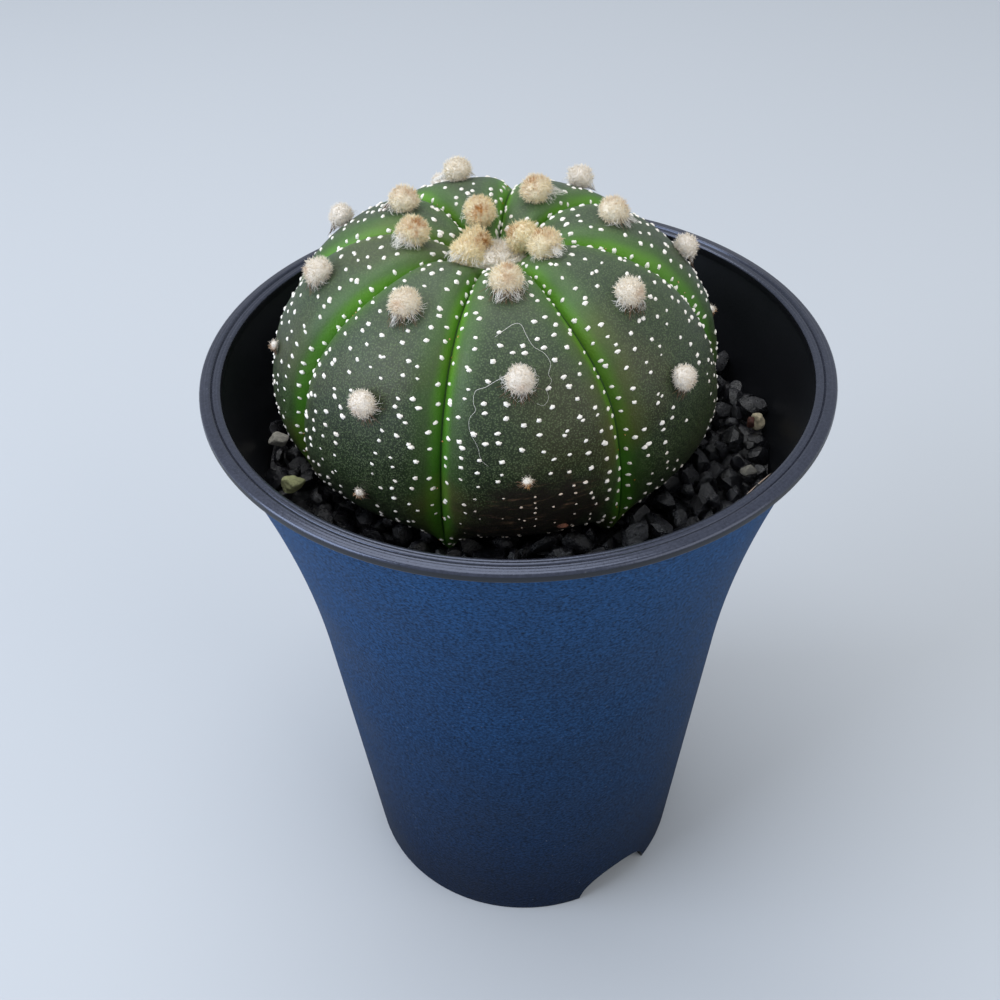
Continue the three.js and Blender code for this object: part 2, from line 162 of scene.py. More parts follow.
# %% Table, world and soft lamps
TABLE_HALF = 4.0  # metres
TABLE_CORNERS = [(-1, -1, 0), (1, -1, 0), (1, 1, 0), (-1, 1, 0)]
table = plain_object("table", mesh_of("table", TABLE_CORNERS, [(0, 1, 2, 3)], False, TABLE_HALF))
paper, tree, shader, _ = new_material("matt pale card")
feed(tree, shader, {"Base Color": "#c3c8ce", "Roughness": 0.9})
table.data.materials.append(paper)

world = bpy.data.worlds.new("overcast sky")
world.use_nodes = True
feed(world.node_tree, world.node_tree.nodes["Background"], {"Color": "#e6ecf4", "Strength": 0.6})
bpy.context.scene.world = world

LAMPS = {  # place in metres, width in metres, power in watts, colour
    "overhead lamp": ((-0.12, 0.12, 0.8), 0.6, 2.7, "#ffffff"),
    "left lamp": ((-0.8, -0.3, 0.5), 0.7, 7.2, "#e8f1ff"),
    "right fill": ((0.8, -0.5, 0.5), 0.9, 3.3, "#fffaf2"),
}
LIT_POINT = Vector((0, 0, 0.08))
for name, (place, width, power, colour) in LAMPS.items():
    lamp = bpy.data.objects.new(name, bpy.data.lights.new(name, "AREA"))
    lamp.data.size = width
    lamp.data.energy = power
    lamp.data.color = hex_colour(colour)[:3]
    lamp.location = place
    lamp.rotation_euler = (LIT_POINT - Vector(place)).to_track_quat("-Z", "Y").to_euler()
    bpy.context.scene.collection.objects.link(lamp)
bpy.context.scene.view_settings.view_transform = "Standard"
print("lamps:", list(LAMPS))

# %% [markdown]
# ## Running a Geometry Nodes tree
# What repeats or follows a rule is made by Geometry Nodes: the turned pot, the grit, the flecks and
# the wool. Each tree has named inputs for its sizes and a fixed seed. The tree hangs on a carrier
# object, its inputs are set before it first runs, and the evaluated result is kept as a plain
# mesh, because the exported model keeps no instances and no live trees.

# %% Helpers for Geometry Nodes


def new_tree(name, inputs):
    """A tree with a geometry input, other named inputs and a geometry output, and its end nodes."""
    tree = bpy.data.node_groups.new(name, "GeometryNodeTree")
    tree.interface.new_socket("Geometry", in_out="INPUT", socket_type="NodeSocketGeometry")
    for label, kind in inputs.items():
        tree.interface.new_socket(label, in_out="INPUT", socket_type="NodeSocket" + kind)
    tree.interface.new_socket("Geometry", in_out="OUTPUT", socket_type="NodeSocketGeometry")
    return tree, tree.nodes.new("NodeGroupInput"), tree.nodes.new("NodeGroupOutput")


def grown(name, tree, base, values):
    """Runs the tree on a base mesh with these input values and keeps the result as a plain mesh."""
    carrier = plain_object(name + "_carrier", base)
    modifier = carrier.modifiers.new(name, "NODES")
    modifier.node_group = tree
    for label, value in values.items():
        modifier[tree.interface.items_tree[label].identifier] = value
    depsgraph = bpy.context.evaluated_depsgraph_get()
    mesh = bpy.data.meshes.new_from_object(
        carrier.evaluated_get(depsgraph), preserve_all_data_layers=True, depsgraph=depsgraph)
    carrier.modifiers.remove(modifier)
    bpy.data.objects.remove(carrier)
    return plain_object(name, mesh)


def store(mesh, **attributes):
    """Keeps a number, a whole number or a vector for each point of a mesh, by name."""
    for name, values in attributes.items():
        values = np.asarray(values)
        kind, field = ("FLOAT", "value") if values.ndim == 1 else ("FLOAT_VECTOR", "vector")
        if values.dtype.kind == "i":
            kind = "INT"
        numbers = values.astype(np.int32 if kind == "INT" else np.float32)
        mesh.attributes.new(name, kind, "POINT").data.foreach_set(field, numbers.ravel())


def triangles(obj):
    """How many triangles an object has."""
    return sum(len(face.vertices) - 2 for face in obj.data.polygons)


print("helpers ready")

# %% [markdown]
# ## Pot: shape
# The pot is thin black polypropylene, injection-moulded. Its mould has one axis, so its shape is a
# profile swept round that axis: a straight tapered wall that opens like a bell, a rolled lip with a
# fine groove, and a foot ring with a recessed floor. A lathe rule gives all that, and three
# drum-shaped bites are then cut from the foot, where the water runs out.

# %% Profile of the pot
POT_HEIGHT = 101
RIM_RADIUS = 45
FOOT_RADIUS = 27.64
WALL_TAPER = 0.0975
FLARE_START = 52
FLARE_RUN = 6.8
WALL = 1
LIP_WIDTH = 3
LIP_DROP = 1.5
FLOOR_HEIGHT = 8
FLOOR_THICKNESS = 1.4
FOOT_RING = 1.7
DRAIN_RADIUS = 5
ROUND = 0.2  # of the drain hole's edges
LIP_INSIDE = RIM_RADIUS - LIP_WIDTH
FOOT_INSIDE = FOOT_RADIUS - FOOT_RING
LIP_UNDERSIDE = POT_HEIGHT - LIP_DROP


def wall_radius(height):
    """The wall's outer radius at a height."""
    flare = max(0, height - FLARE_START) / (POT_HEIGHT - FLARE_START)
    return FOOT_RADIUS + WALL_TAPER * height + FLARE_RUN * flare * flare


def arc(centre, radius, start, end, steps=5):
    """Points on a small round edge, for angles in degrees from the outward direction."""
    turns = np.radians(np.linspace(start, end, steps))
    return [(centre[0] + radius * math.cos(a), centre[1] + radius * math.sin(a)) for a in turns]


def wall_points(start, end, inwards, steps):
    return [(wall_radius(h) - inwards, h) for h in np.linspace(start, end, steps)]


def lip_top():
    """The lip's top: an outer bead, a fine dark groove and a band with faint turning ridges."""
    radii = np.arange(RIM_RADIUS - 0.5, LIP_INSIDE + 0.3, -0.06)
    groove = 0.34 * np.exp(-((radii - (RIM_RADIUS - 1.75)) / 0.13) ** 2)
    step = 0.16 / (1 + np.exp((radii - (RIM_RADIUS - 1.9)) / 0.05))
    ridges = 0.018 * np.cos(radii * 2 * math.pi / 0.42)
    crown = 0.12 * np.clip((RIM_RADIUS - 0.5 - radii) / 0.6, 0, 1)
    return list(zip(radii, POT_HEIGHT - 0.12 + crown - groove - step + ridges))


floor_top = FLOOR_HEIGHT + FLOOR_THICKNESS
pot_profile = [
    *arc((FOOT_INSIDE + 0.3, 0.3), 0.3, 180, 270, 4),
    *arc((FOOT_RADIUS - 0.4, 0.4), 0.4, 270, 360),
    *wall_points(1, FLARE_START, 0, 24),
    *wall_points(FLARE_START, LIP_UNDERSIDE - 0.3, 0, 40)[1:],
    *arc((RIM_RADIUS - 0.35, LIP_UNDERSIDE + 0.35), 0.35, 270, 360),
    *arc((RIM_RADIUS - 0.5, POT_HEIGHT - 0.62), 0.5, 0, 90, 7),
    *lip_top()[1:],
    *arc((LIP_INSIDE + 0.25, POT_HEIGHT - 0.45), 0.25, 90, 180, 4),
    (LIP_INSIDE, LIP_UNDERSIDE),
    *wall_points(LIP_UNDERSIDE - 0.4, FLARE_START, WALL, 40),
    *wall_points(FLARE_START, floor_top + 0.6, WALL, 20)[1:],
    (wall_radius(floor_top) - WALL - 0.6, floor_top),
    (DRAIN_RADIUS + ROUND, floor_top),
    (DRAIN_RADIUS, floor_top - ROUND),
    (DRAIN_RADIUS, FLOOR_HEIGHT + ROUND),
    (DRAIN_RADIUS + ROUND, FLOOR_HEIGHT),
    (FOOT_INSIDE - 0.5, FLOOR_HEIGHT),
    (FOOT_INSIDE, FLOOR_HEIGHT - 0.5),
    (FOOT_INSIDE, 0.3),
]
print("pot profile:", len(pot_profile), "points")

# %% Lathe tree with the three bites
BITE_AZIMUTHS = (-54, 66, 186)
BITE_RADIUS = 7.4
BITE_DEPTH = 6  # how far each drum reaches in and out through the foot ring
BITE_DROP = 0.4  # of the drums' middle under the table's surface
SEAM = 0.00001  # points nearer than this are one

tree, given, result = new_tree("turned pot", {
    "Sides": "Int", "Bite radius": "Float", "Foot radius": "Float", "Finish": "Material"})
size = add_node(tree, "GeometryNodeAttributeDomainSize", {0: given.outputs["Geometry"]})
columns = add_node(tree, "ShaderNodeMath", {0: given.outputs["Sides"], 1: 1.0})
grid = add_node(tree, "GeometryNodeMeshGrid", {
    "Size X": 1.0, "Size Y": 1.0, "Vertices X": columns, "Vertices Y": size.outputs["Point Count"]})
place = add_node(tree, "GeometryNodeInputPosition")
share = add_node(tree, "ShaderNodeVectorMath", {0: place, 1: (0.5, 0.5, 0)})
split = add_node(tree, "ShaderNodeSeparateXYZ", {0: share})
last_row = add_node(tree, "ShaderNodeMath", {
    0: size.outputs["Point Count"], 1: 1.0}, operation="SUBTRACT")
row = add_node(tree, "ShaderNodeMath", {0: split.outputs["Y"], 1: last_row}, operation="MULTIPLY")
row = add_node(tree, "ShaderNodeMath", {0: row}, operation="ROUND")
on_profile = add_node(tree, "GeometryNodeSampleIndex", {
    "Geometry": given.outputs["Geometry"], "Value": place, "Index": row}, data_type="FLOAT_VECTOR")
profile_parts = add_node(tree, "ShaderNodeSeparateXYZ", {0: on_profile})
angle = add_node(tree, "ShaderNodeMath", {
    0: split.outputs["X"], 1: 2 * math.pi}, operation="MULTIPLY")
sideways = add_node(tree, "ShaderNodeMath", {0: angle}, operation="COSINE")
forwards = add_node(tree, "ShaderNodeMath", {0: angle}, operation="SINE")
round_axis = add_node(tree, "ShaderNodeCombineXYZ", {"X": sideways, "Y": forwards})
radial = add_node(tree, "ShaderNodeVectorMath", {
    0: round_axis, "Scale": profile_parts.outputs["X"]}, operation="SCALE")
upright = add_node(tree, "ShaderNodeCombineXYZ", {"Z": profile_parts.outputs["Z"]})
turned_place = add_node(tree, "ShaderNodeVectorMath", {0: radial, 1: upright})
wrapped = add_node(tree, "GeometryNodeSetPosition", {0: grid, "Position": turned_place})
sealed = add_node(tree, "GeometryNodeMergeByDistance", {0: wrapped, "Distance": SEAM})
drum = add_node(tree, "GeometryNodeMeshCylinder", {
    "Vertices": 96, "Radius": given.outputs["Bite radius"], "Depth": BITE_DEPTH * MM})
bites = add_node(tree, "GeometryNodeJoinGeometry")
for azimuth in BITE_AZIMUTHS:
    outwards = add_node(tree, "ShaderNodeCombineXYZ", {
        "X": given.outputs["Foot radius"], "Z": -BITE_DROP * MM})
    lying = add_node(tree, "GeometryNodeTransform", {
        0: drum, "Translation": outwards, "Rotation": (0, math.pi / 2, 0)})
    turned_bite = add_node(tree, "GeometryNodeTransform", {
        0: lying, "Rotation": (0, 0, math.radians(azimuth))})
    feed(tree, bites, {0: turned_bite})
cut = add_node(tree, "GeometryNodeMeshBoolean", {0: sealed, 1: bites},
               operation="DIFFERENCE", solver="EXACT")
finish = add_node(tree, "GeometryNodeSetMaterial", {
    0: cut.outputs["Mesh"], "Material": given.outputs["Finish"]})
feed(tree, result, {0: finish})
turned_pot_tree = tree
print("lathe tree:", len(tree.nodes), "nodes")

# %% [markdown]
# ## Pot: finish
# Polypropylene, IOR 1.49, in three finishes. Outside, spark erosion left a fine grain of about
# 0.4 mm, which scatters the light. The outside's navy colour and the blue tint of the reflections
# are a painted reflection of a blue surround. Inside the steel was polished, so the plastic is
# plain black and satin. The lip is glossy, and its paler colour is a painted reflection of the
# sky. All three are painted darker at the foot and paler towards the lip, as shade and light.
# Grey dust lies on all of it. One function makes the three finishes, so they share the plastic
# and differ in colour, grain and gloss.

# %% Material: black polypropylene, grained and polished
GRAIN = 0.42  # millimetres
DUST_SPACING = 1.7


def plastic_finish(name, low, high, mottle, tint, gloss, grain_depth):
    """Plastic between two colours, painted darker at the foot and paler up to the lip."""
    material, tree, shader, where = new_material(name)
    height = add_node(tree, "ShaderNodeSeparateXYZ", {0: where}).outputs["Z"]
    grain = add_node(tree, "ShaderNodeTexNoise", {
        "Vector": where, "Scale": 1 / (GRAIN * MM), "Detail": 2.0, "Roughness": 0.6})
    cloudy = add_node(tree, "ShaderNodeTexNoise", {
        "Vector": where, "Scale": 1 / (14 * MM), "Detail": 4.0})
    # Painted shade and light: the colour runs from low at the foot to high at the lip.
    painted_light_upwards = add_node(tree, "ShaderNodeMapRange", {
        "Value": height, "From Min": 5 * MM, "From Max": POT_HEIGHT * MM})
    base = add_node(tree, "ShaderNodeMix", {
        "Factor": painted_light_upwards, "A": low, "B": high}, data_type="RGBA")
    tone = add_node(tree, "ShaderNodeMapRange", {
        "Value": grain, "From Min": 0.3, "From Max": 0.7,
        "To Min": 1 - mottle, "To Max": 1 + mottle}, clamp=False)
    patch = add_node(tree, "ShaderNodeMapRange", {
        "Value": cloudy, "From Min": 0.3, "From Max": 0.7, "To Min": 0.88, "To Max": 1.12})
    tone = add_node(tree, "ShaderNodeMath", {0: tone, 1: patch}, operation="MULTIPLY")
    colour = add_node(tree, "ShaderNodeVectorMath", {0: base, "Scale": tone}, operation="SCALE")
    dust = add_node(tree, "ShaderNodeTexVoronoi", {
        "Vector": where, "Scale": 1 / (DUST_SPACING * MM)})
    speck = add_node(tree, "ShaderNodeMapRange", {
        "Value": dust.outputs["Distance"], "From Min": 0.09, "From Max": 0.05})
    patchy = add_node(tree, "ShaderNodeMapRange", {
        "Value": cloudy, "From Min": 0.52, "From Max": 0.62, "To Max": 0.3})
    speck = add_node(tree, "ShaderNodeMath", {0: speck, 1: patchy}, operation="MULTIPLY")
    colour = add_node(tree, "ShaderNodeMix", {
        "Factor": speck, "A": colour, "B": "#8f9296"}, data_type="RGBA")
    roughness = add_node(tree, "ShaderNodeMapRange", {
        "Value": cloudy, "From Min": 0.3, "From Max": 0.7,
        "To Min": 0.75 - 0.6 * gloss, "To Max": 0.85 - 0.6 * gloss})
    relief = add_node(tree, "ShaderNodeBump", {
        "Height": grain, "Distance": grain_depth * MM, "Strength": 0.8})
    feed(tree, shader, {
        "IOR": 1.49, "Specular IOR Level": gloss, "Specular Tint": tint,
        "Base Color": colour, "Roughness": roughness, "Normal": relief})
    return material


# Painted reflection: the outside's navy colour and blue tint stand in for a blue surround.
pot_outside = plastic_finish("black polypropylene, spark-eroded grain",
                             "#0c172b", "#1f426b", 0.65, "#74a6de", 0.2, 0.1)
pot_inside = plastic_finish("black polypropylene, polished",
                            "#08080a", "#131418", 0.15, "#dfe8f6", 0.6, 0.02)
# Painted reflection: the lip's paler colour and bluish tint stand in for the sky it reflects.
pot_lip = plastic_finish("black polypropylene, polished, painted sky reflection",
                         "#1f2027", "#2b2d37", 0.3, "#ccd8f6", 1.0, 0.02)
print("pot finishes:", pot_outside.name, "/", pot_inside.name, "/", pot_lip.name)

# %% Turning the pot
POT_SIDES = 240
SKY_SHEEN_DEPTH = 0.45  # how far down from the top the lip has its paler colour, a painted sky reflection
profile_points = [(radius, 0, level) for radius, level in pot_profile]
pot = grown("pot_wall_and_lip", turned_pot_tree, mesh_of("pot_profile", profile_points), {
    "Sides": POT_SIDES, "Bite radius": BITE_RADIUS * MM, "Foot radius": FOOT_RADIUS * MM,
    "Finish": pot_outside})
shell = bmesh.new()
shell.from_mesh(pot.data)
bmesh.ops.recalc_face_normals(shell, faces=shell.faces)
shell.to_mesh(pot.data)
shell.free()
pot.data.shade_smooth()
pot.data.set_sharp_from_angle(angle=math.radians(38))
pot.data.materials.clear()
for material in (pot_outside, pot_inside, pot_lip):
    pot.data.materials.append(material)
for face in pot.data.polygons:
    middle = face.center / MM
    within = math.hypot(middle.x, middle.y) < wall_radius(middle.z) - WALL / 2
    on_lip = middle.z > LIP_UNDERSIDE
    face.material_index = 2 if middle.z > POT_HEIGHT - SKY_SHEEN_DEPTH else int(within or on_lip)
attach(pot, "root")
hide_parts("pot")
print("pot:", triangles(pot), "triangles")

# %% [markdown]
# ## Cactus: skin
# A star cactus is a dome of eight broad ribs that meet in sharp narrow creases. Its skin is a tough
# thin cuticle over juicy tissue, so it is smooth and taut. Two outlines say it all: one down the
# top of a rib and one down a crease. Every point of the skin lies between them, by how far it is
# across its rib, and the whole stack of rings leans a little to the front. It is mesh code, because
# each point also keeps how far it is from the nearest crease, which the colours follow.

# %% Outlines and directions of the ribs
PLANT_BASE = 87.4
PLANT_FOOT = np.array([-2.8, 3.2])
PLANT_CROWN = np.array([-2.8, -2.8])
CROWN_HEIGHT = 33
HOLLOW_HEIGHT = 29.8  # of the bottom of the crown's hollow
RIDGE_OUTLINE = np.array([  # distance from the plant's axis, and height over its base
    [0, HOLLOW_HEIGHT], [3, 30.6], [6.5, 33.2], [11.5, 34.9], [18, 33.6], [24.3, 29.4],
    [29.3, 22.4], [31.9, 13.6], [31.7, 7], [29.5, 2.8], [25, -0.4], [18, -3], [12, -5], [7, -7.4]])
GROOVE_OUTLINE = np.array([
    [0, HOLLOW_HEIGHT], [2.8, 29.7], [5.8, 30.5], [10.4, 32.3], [16.9, 31.5], [22.6, 27.6],
    [26.9, 21], [29.2, 13], [29.9, 5.6], [29.2, -0.4], [25.6, -3.4], [18, -4.6], [12, -5.8],
    [7, -7.4]])
GROOVE_AZIMUTHS = np.array([-104, -57, -5, 36, 82, 128, 171, 209])
RIDGE_AZIMUTHS = np.array([-83, -38, 12, 56, 107, 151, 192, 237])
RIBS = len(RIDGE_AZIMUTHS)
GROOVE_SWAY = np.array([0, -4.5, -4, 5, 0, 0, 0, 5.5])  # degrees each turns aside near the crown
SWAY_FADE = (0.28, 0.48)  # share of the way from crown to neck over which the sway dies out
RIB_ROUNDING = 5.5
RIB_COLUMNS = 60
SKIN_ROWS = 176
ROOT_OUTLINE = [(5, -11), (2.6, -21), (0.4, -30.8)]
ROOT_TIP = -31


def smooth_outline(points, along):
    """Points of the smooth curve through an outline, where along runs from 0 to 1."""
    last = len(points) - 1
    place = np.clip(np.asarray(along, float), 0, 1) * last
    start = np.minimum(place.astype(int), last - 1)
    t = (place - start)[..., None]
    before, a = points[np.maximum(start - 1, 0)], points[start]
    b, after = points[start + 1], points[np.minimum(start + 2, last)]
    pull_a, pull_b = (b - before) / 2, (after - a) / 2
    return ((2 * a - 2 * b + pull_a + pull_b) * t ** 3
            + (3 * b - 3 * a - 2 * pull_a - pull_b) * t ** 2 + pull_a * t + a)


def skin_points(rib, across, along):
    """Points of the skin in millimetres, across from -0.5 to 0.5 of each rib."""
    rise = 1 - np.abs(2 * across) ** RIB_ROUNDING
    groove = smooth_outline(GROOVE_OUTLINE, along)
    ridge = smooth_outline(RIDGE_OUTLINE, along)
    outline = groove + (ridge - groove) * rise[..., None]
    faded = np.clip((along - SWAY_FADE[0]) / (SWAY_FADE[1] - SWAY_FADE[0]), 0, 1)
    sway = 1 - faded * faded * (3 - 2 * faded)
    groove_of = (rib + (across >= 0)) % RIBS
    edge = GROOVE_AZIMUTHS[groove_of] + GROOVE_SWAY[groove_of] * sway
    edge = edge + np.where((across >= 0) & (rib == RIBS - 1), 360, 0)
    azimuth = RIDGE_AZIMUTHS[rib] + (edge - RIDGE_AZIMUTHS[rib]) * np.abs(2 * across)
    azimuth = np.radians(azimuth)
    lean = np.clip(outline[..., 1:] / CROWN_HEIGHT, 0, 1)
    axis = PLANT_FOOT + (PLANT_CROWN - PLANT_FOOT) * lean
    return np.concatenate([
        axis + outline[..., :1] * np.stack([np.cos(azimuth), np.sin(azimuth)], -1),
        PLANT_BASE + outline[..., 1:]], -1)


fine = np.linspace(0, 1, 4001)
ridge_steps = np.linalg.norm(np.diff(smooth_outline(RIDGE_OUTLINE, fine), axis=0), axis=1)
ridge_reach = np.concatenate([[0], np.cumsum(ridge_steps)])
RIDGE_LENGTH = ridge_reach[-1]


def along_at(reach):
    """Where along the outlines a distance in millimetres from the middle of the crown falls."""
    return np.interp(reach, ridge_reach, fine)


print("a ridge is", round(RIDGE_LENGTH, 1), "mm long from crown to neck")

# %% Skin mesh
CROWDING = 0.45  # of the columns towards the creases
DENTS = ((7, 0.22), (2.2, 0.05))  # breadth and depth of the living skin's unevenness
DENT_RADIUS = 30  # where the depth is as given: it grows with the distance from the axis
DENT_FADE = 3  # from a crease, where there is none, to its full depth


def noise_at(points, shift=(0, 0, 0)):
    """Smooth noise between -1 and 1 at each point."""
    return np.array([noise.noise(Vector(p) + Vector(shift)) for p in points])


spread = np.linspace(-1, 1, RIB_COLUMNS, endpoint=False)
across_rib = 0.5 * (spread + CROWDING * np.sin(math.pi * spread) / math.pi)
rib_of = np.repeat(np.arange(RIBS), RIB_COLUMNS)
across_of = np.tile(across_rib, RIBS)
count = len(across_of)
reach_rows = np.linspace(RIDGE_LENGTH / SKIN_ROWS, RIDGE_LENGTH, SKIN_ROWS)
rings = skin_points(rib_of[None, :], np.broadcast_to(across_of, (SKIN_ROWS, count)),
                    np.broadcast_to(along_at(reach_rows)[:, None], (SKIN_ROWS, count)))

# Distance from the nearest crease, measured round each ring
hop = np.linalg.norm(np.roll(rings, -1, axis=1) - rings, axis=2)
hop = hop.reshape(SKIN_ROWS, RIBS, RIB_COLUMNS)
travelled = np.concatenate([np.zeros((SKIN_ROWS, RIBS, 1)), np.cumsum(hop, axis=2)], axis=2)
crease_distance = np.minimum(travelled[..., :-1], travelled[..., -1:] - travelled[..., :-1])
crease_distance = crease_distance.reshape(SKIN_ROWS, -1)

swell = sum(depth * noise_at(rings.reshape(-1, 3) / breadth) for breadth, depth in DENTS)
swell = swell.reshape(SKIN_ROWS, count) * np.minimum(1, crease_distance / DENT_FADE)
rings[..., :2] += swell[..., None] * (rings[..., :2] - PLANT_FOOT) / DENT_RADIUS

root_turns = np.linspace(0, 2 * math.pi, count, endpoint=False) + np.radians(GROOVE_AZIMUTHS[0])
root_rings = [np.stack([
    PLANT_FOOT[0] + radius * np.cos(root_turns), PLANT_FOOT[1] + radius * np.sin(root_turns),
    np.full(count, PLANT_BASE + level)], -1) for radius, level in ROOT_OUTLINE]
crown_axis = PLANT_FOOT + (PLANT_CROWN - PLANT_FOOT) * min(1, HOLLOW_HEIGHT / CROWN_HEIGHT)
crown_middle = np.array([*crown_axis, PLANT_BASE + HOLLOW_HEIGHT])
root_tip = [*PLANT_FOOT, PLANT_BASE + ROOT_TIP]
skin_verts = np.concatenate([[crown_middle], rings.reshape(-1, 3), *root_rings, [root_tip]])
all_rows = SKIN_ROWS + len(root_rings)
skin_faces = []
for j in range(count):
    k = (j + 1) % count
    skin_faces.append((0, 1 + j, 1 + k))
    for i in range(all_rows - 1):
        upper, lower = 1 + i * count, 1 + (i + 1) * count
        skin_faces.append((upper + j, lower + j, lower + k, upper + k))
    low = 1 + (all_rows - 1) * count
    skin_faces.append((low + j, low + count, low + k))
skin = plain_object("cactus_skin", mesh_of("cactus_skin", skin_verts, skin_faces))
below = np.ones(len(root_rings) * count + 1)
store(skin.data, crease_mm=np.concatenate([[0], crease_distance.ravel(), 5 * below]),
      reach_mm=np.concatenate([[0], np.repeat(reach_rows, count), RIDGE_LENGTH * below]))
print("skin:", triangles(skin), "triangles")

# %% [markdown]
# ## Cactus: finish of the skin
# The cuticle is waxy and matt to satin, IOR about 1.45, with light scattered inside the tissue. Old
# skin on the faces of the ribs is dark grey-green. Young skin by the creases, which have just
# opened, is a fresh bright green, and the crease itself is deep green, painted darker at its
# bottom as shade. The skin is painted paler near the crown and darker low down, partly for its age
# and partly as light from above and shade near the soil. In front it has gone to brown cork,
# painted near black partly as shade near the soil. Each group of cells, one every 0.25 mm or so,
# has a painted glint, a fine pale speck. The colours are laid over one another like coats of paint.

# %% Material: waxy cactus epidermis
CELL = 0.25  # millimetres
skin_finish, tree, shader, where = new_material("waxy cactus epidermis")
crease, reach, cork = (
    add_node(tree, "ShaderNodeAttribute", attribute_name=name).outputs["Fac"]
    for name in ("crease_mm", "reach_mm", "cork"))
drift = add_node(tree, "ShaderNodeTexNoise", {
    "Vector": where, "Scale": 1 / (9 * MM), "Detail": 4.0})
cells = add_node(tree, "ShaderNodeTexVoronoi", {"Vector": where, "Scale": 1 / (CELL * MM)})
grain = add_node(tree, "ShaderNodeTexNoise", {
    "Vector": where, "Scale": 1 / (0.4 * MM), "Detail": 3.0, "Roughness": 0.65})
# Paler near the crown and darker low down: partly age, partly painted light and painted shade.
age = add_node(tree, "ShaderNodeMapRange", {
    "Value": reach, "From Min": 13.0, "From Max": 44.0}, interpolation_type="SMOOTHSTEP")
upper, lower, growing, newest = (
    add_node(tree, "ShaderNodeMix", {"Factor": factor, "A": one, "B": other}, data_type="RGBA")
    for factor, one, other in (
        (drift, "#384634", "#516048"), (drift, "#0f190b", "#233119"),
        (age, "#52763a", "#344f20"), (age, "#62972b", "#3f731c")))
# Painted glints: a pale dot in the middle of each cell stands in for the glint on its bump.
dots = add_node(tree, "ShaderNodeMapRange", {
    "Value": cells.outputs["Distance"], "From Min": 0.55, "From Max": 0.15, "To Max": 0.38})
shown = add_node(tree, "ShaderNodeMapRange", {
    "Value": grain, "From Min": 0.36, "From Max": 0.56, "To Min": 0.5})
painted_glints = add_node(tree, "ShaderNodeMath", {0: dots, 1: shown}, operation="MULTIPLY")
wobble = add_node(tree, "ShaderNodeMath", {0: drift, 1: 2.0, 2: -1.0}, operation="MULTIPLY_ADD")
from_crease = add_node(tree, "ShaderNodeMath", {0: crease, 1: wobble})
# The crease is deep green, and painted darker at its bottom as shade.
young, fresh, deep = (
    add_node(tree, "ShaderNodeMapRange", {
        "Value": distance, "From Min": far, "From Max": near, "To Max": most},
        interpolation_type="SMOOTHSTEP")
    for distance, far, near, most in (
        (from_crease, 5.8, 1.5, 0.8), (from_crease, 2.7, 0.9, 1.0), (crease, 0.35, 0.03, 1.0)))
tanned = add_node(tree, "ShaderNodeTexNoise", {
    "Vector": where, "Scale": 1 / (16 * MM), "Detail": 2.0})
tanned = add_node(tree, "ShaderNodeMapRange", {
    "Value": tanned, "From Min": 0.52, "From Max": 0.7, "To Max": 0.26})
exposed = add_node(tree, "ShaderNodeMath", {0: young, 1: 0.8, 2: 0.3}, operation="MULTIPLY_ADD")
tanned = add_node(tree, "ShaderNodeMath", {0: tanned, 1: exposed}, operation="MULTIPLY")
# Cork: near black, partly as painted shade by the soil, with pale brown wrinkles round the plant
stretched = add_node(tree, "ShaderNodeMapping", {"Vector": where, "Scale": (0.35, 0.35, 1.6)})
wrinkles = add_node(tree, "ShaderNodeTexNoise", {
    "Vector": stretched, "Scale": 1 / (0.9 * MM), "Detail": 4.0, "Roughness": 0.7,
    "Distortion": 0.6})
wrinkles = add_node(tree, "ShaderNodeMapRange", {
    "Value": wrinkles, "From Min": 0.56, "From Max": 0.74})
bark = add_node(tree, "ShaderNodeMix", {
    "Factor": wrinkles, "A": "#1f1a16", "B": "#6b5443"}, data_type="RGBA")
corky = add_node(tree, "ShaderNodeMath", {0: cork, 1: 0.92}, operation="MULTIPLY")
colour = upper
for cover, coat in ((age, lower), (painted_glints, "#84996c"), (young, growing), (fresh, newest),
                    (tanned, "#7a5c2c"), (deep, "#1d4209"), (corky, bark)):
    colour = add_node(tree, "ShaderNodeMix", {
        "Factor": cover, "A": colour, "B": coat}, data_type="RGBA")
roughness = add_node(tree, "ShaderNodeMapRange", {
    "Value": grain, "From Min": 0.3, "From Max": 0.7, "To Min": 0.44, "To Max": 0.6})
texture = add_node(tree, "ShaderNodeMath", {
    0: cells.outputs["Distance"], 1: -0.5, 2: grain}, operation="MULTIPLY_ADD")
relief = add_node(tree, "ShaderNodeBump", {
    "Height": texture, "Distance": 0.07 * MM, "Strength": 0.8})
feed(tree, shader, {
    "IOR": 1.45, "Specular IOR Level": 0.42, "Subsurface Weight": 0.12,
    "Subsurface Radius": (0.5, 1.0, 0.25), "Subsurface Scale": 0.9 * MM,
    "Base Color": colour, "Roughness": roughness, "Normal": relief})
skin.data.materials.append(skin_finish)
print("skin finish:", len(tree.nodes), "nodes")

# %% Cork at the foot of the front rib
CORK_CENTRE = (536, 520)  # pixel of the photograph
# The patch is widened over the foot, partly as painted shade near the soil.
CORK_RADIUS = 9.0
CORK_FADE = 4
skin_tree = BVHTree.FromObject(skin, bpy.context.evaluated_depsgraph_get())


def seen_skin(u, v):
    """The place of the skin behind a pixel and the direction away from it, in metres."""
    spot, away, _, _ = skin_tree.ray_cast(CAMERA_PLACE, sight_line(u, v))
    return spot, away


cork_middle = np.array(seen_skin(*CORK_CENTRE)[0]) / MM


def cork_at(points):
    """How corky the skin is at points in millimetres, from 0 to 1."""
    away = np.linalg.norm((points - cork_middle) * (0.75, 1, 1), axis=1)
    return np.clip((CORK_RADIUS - away + noise_at(points / 2.5) * 3) / CORK_FADE, 0, 1)


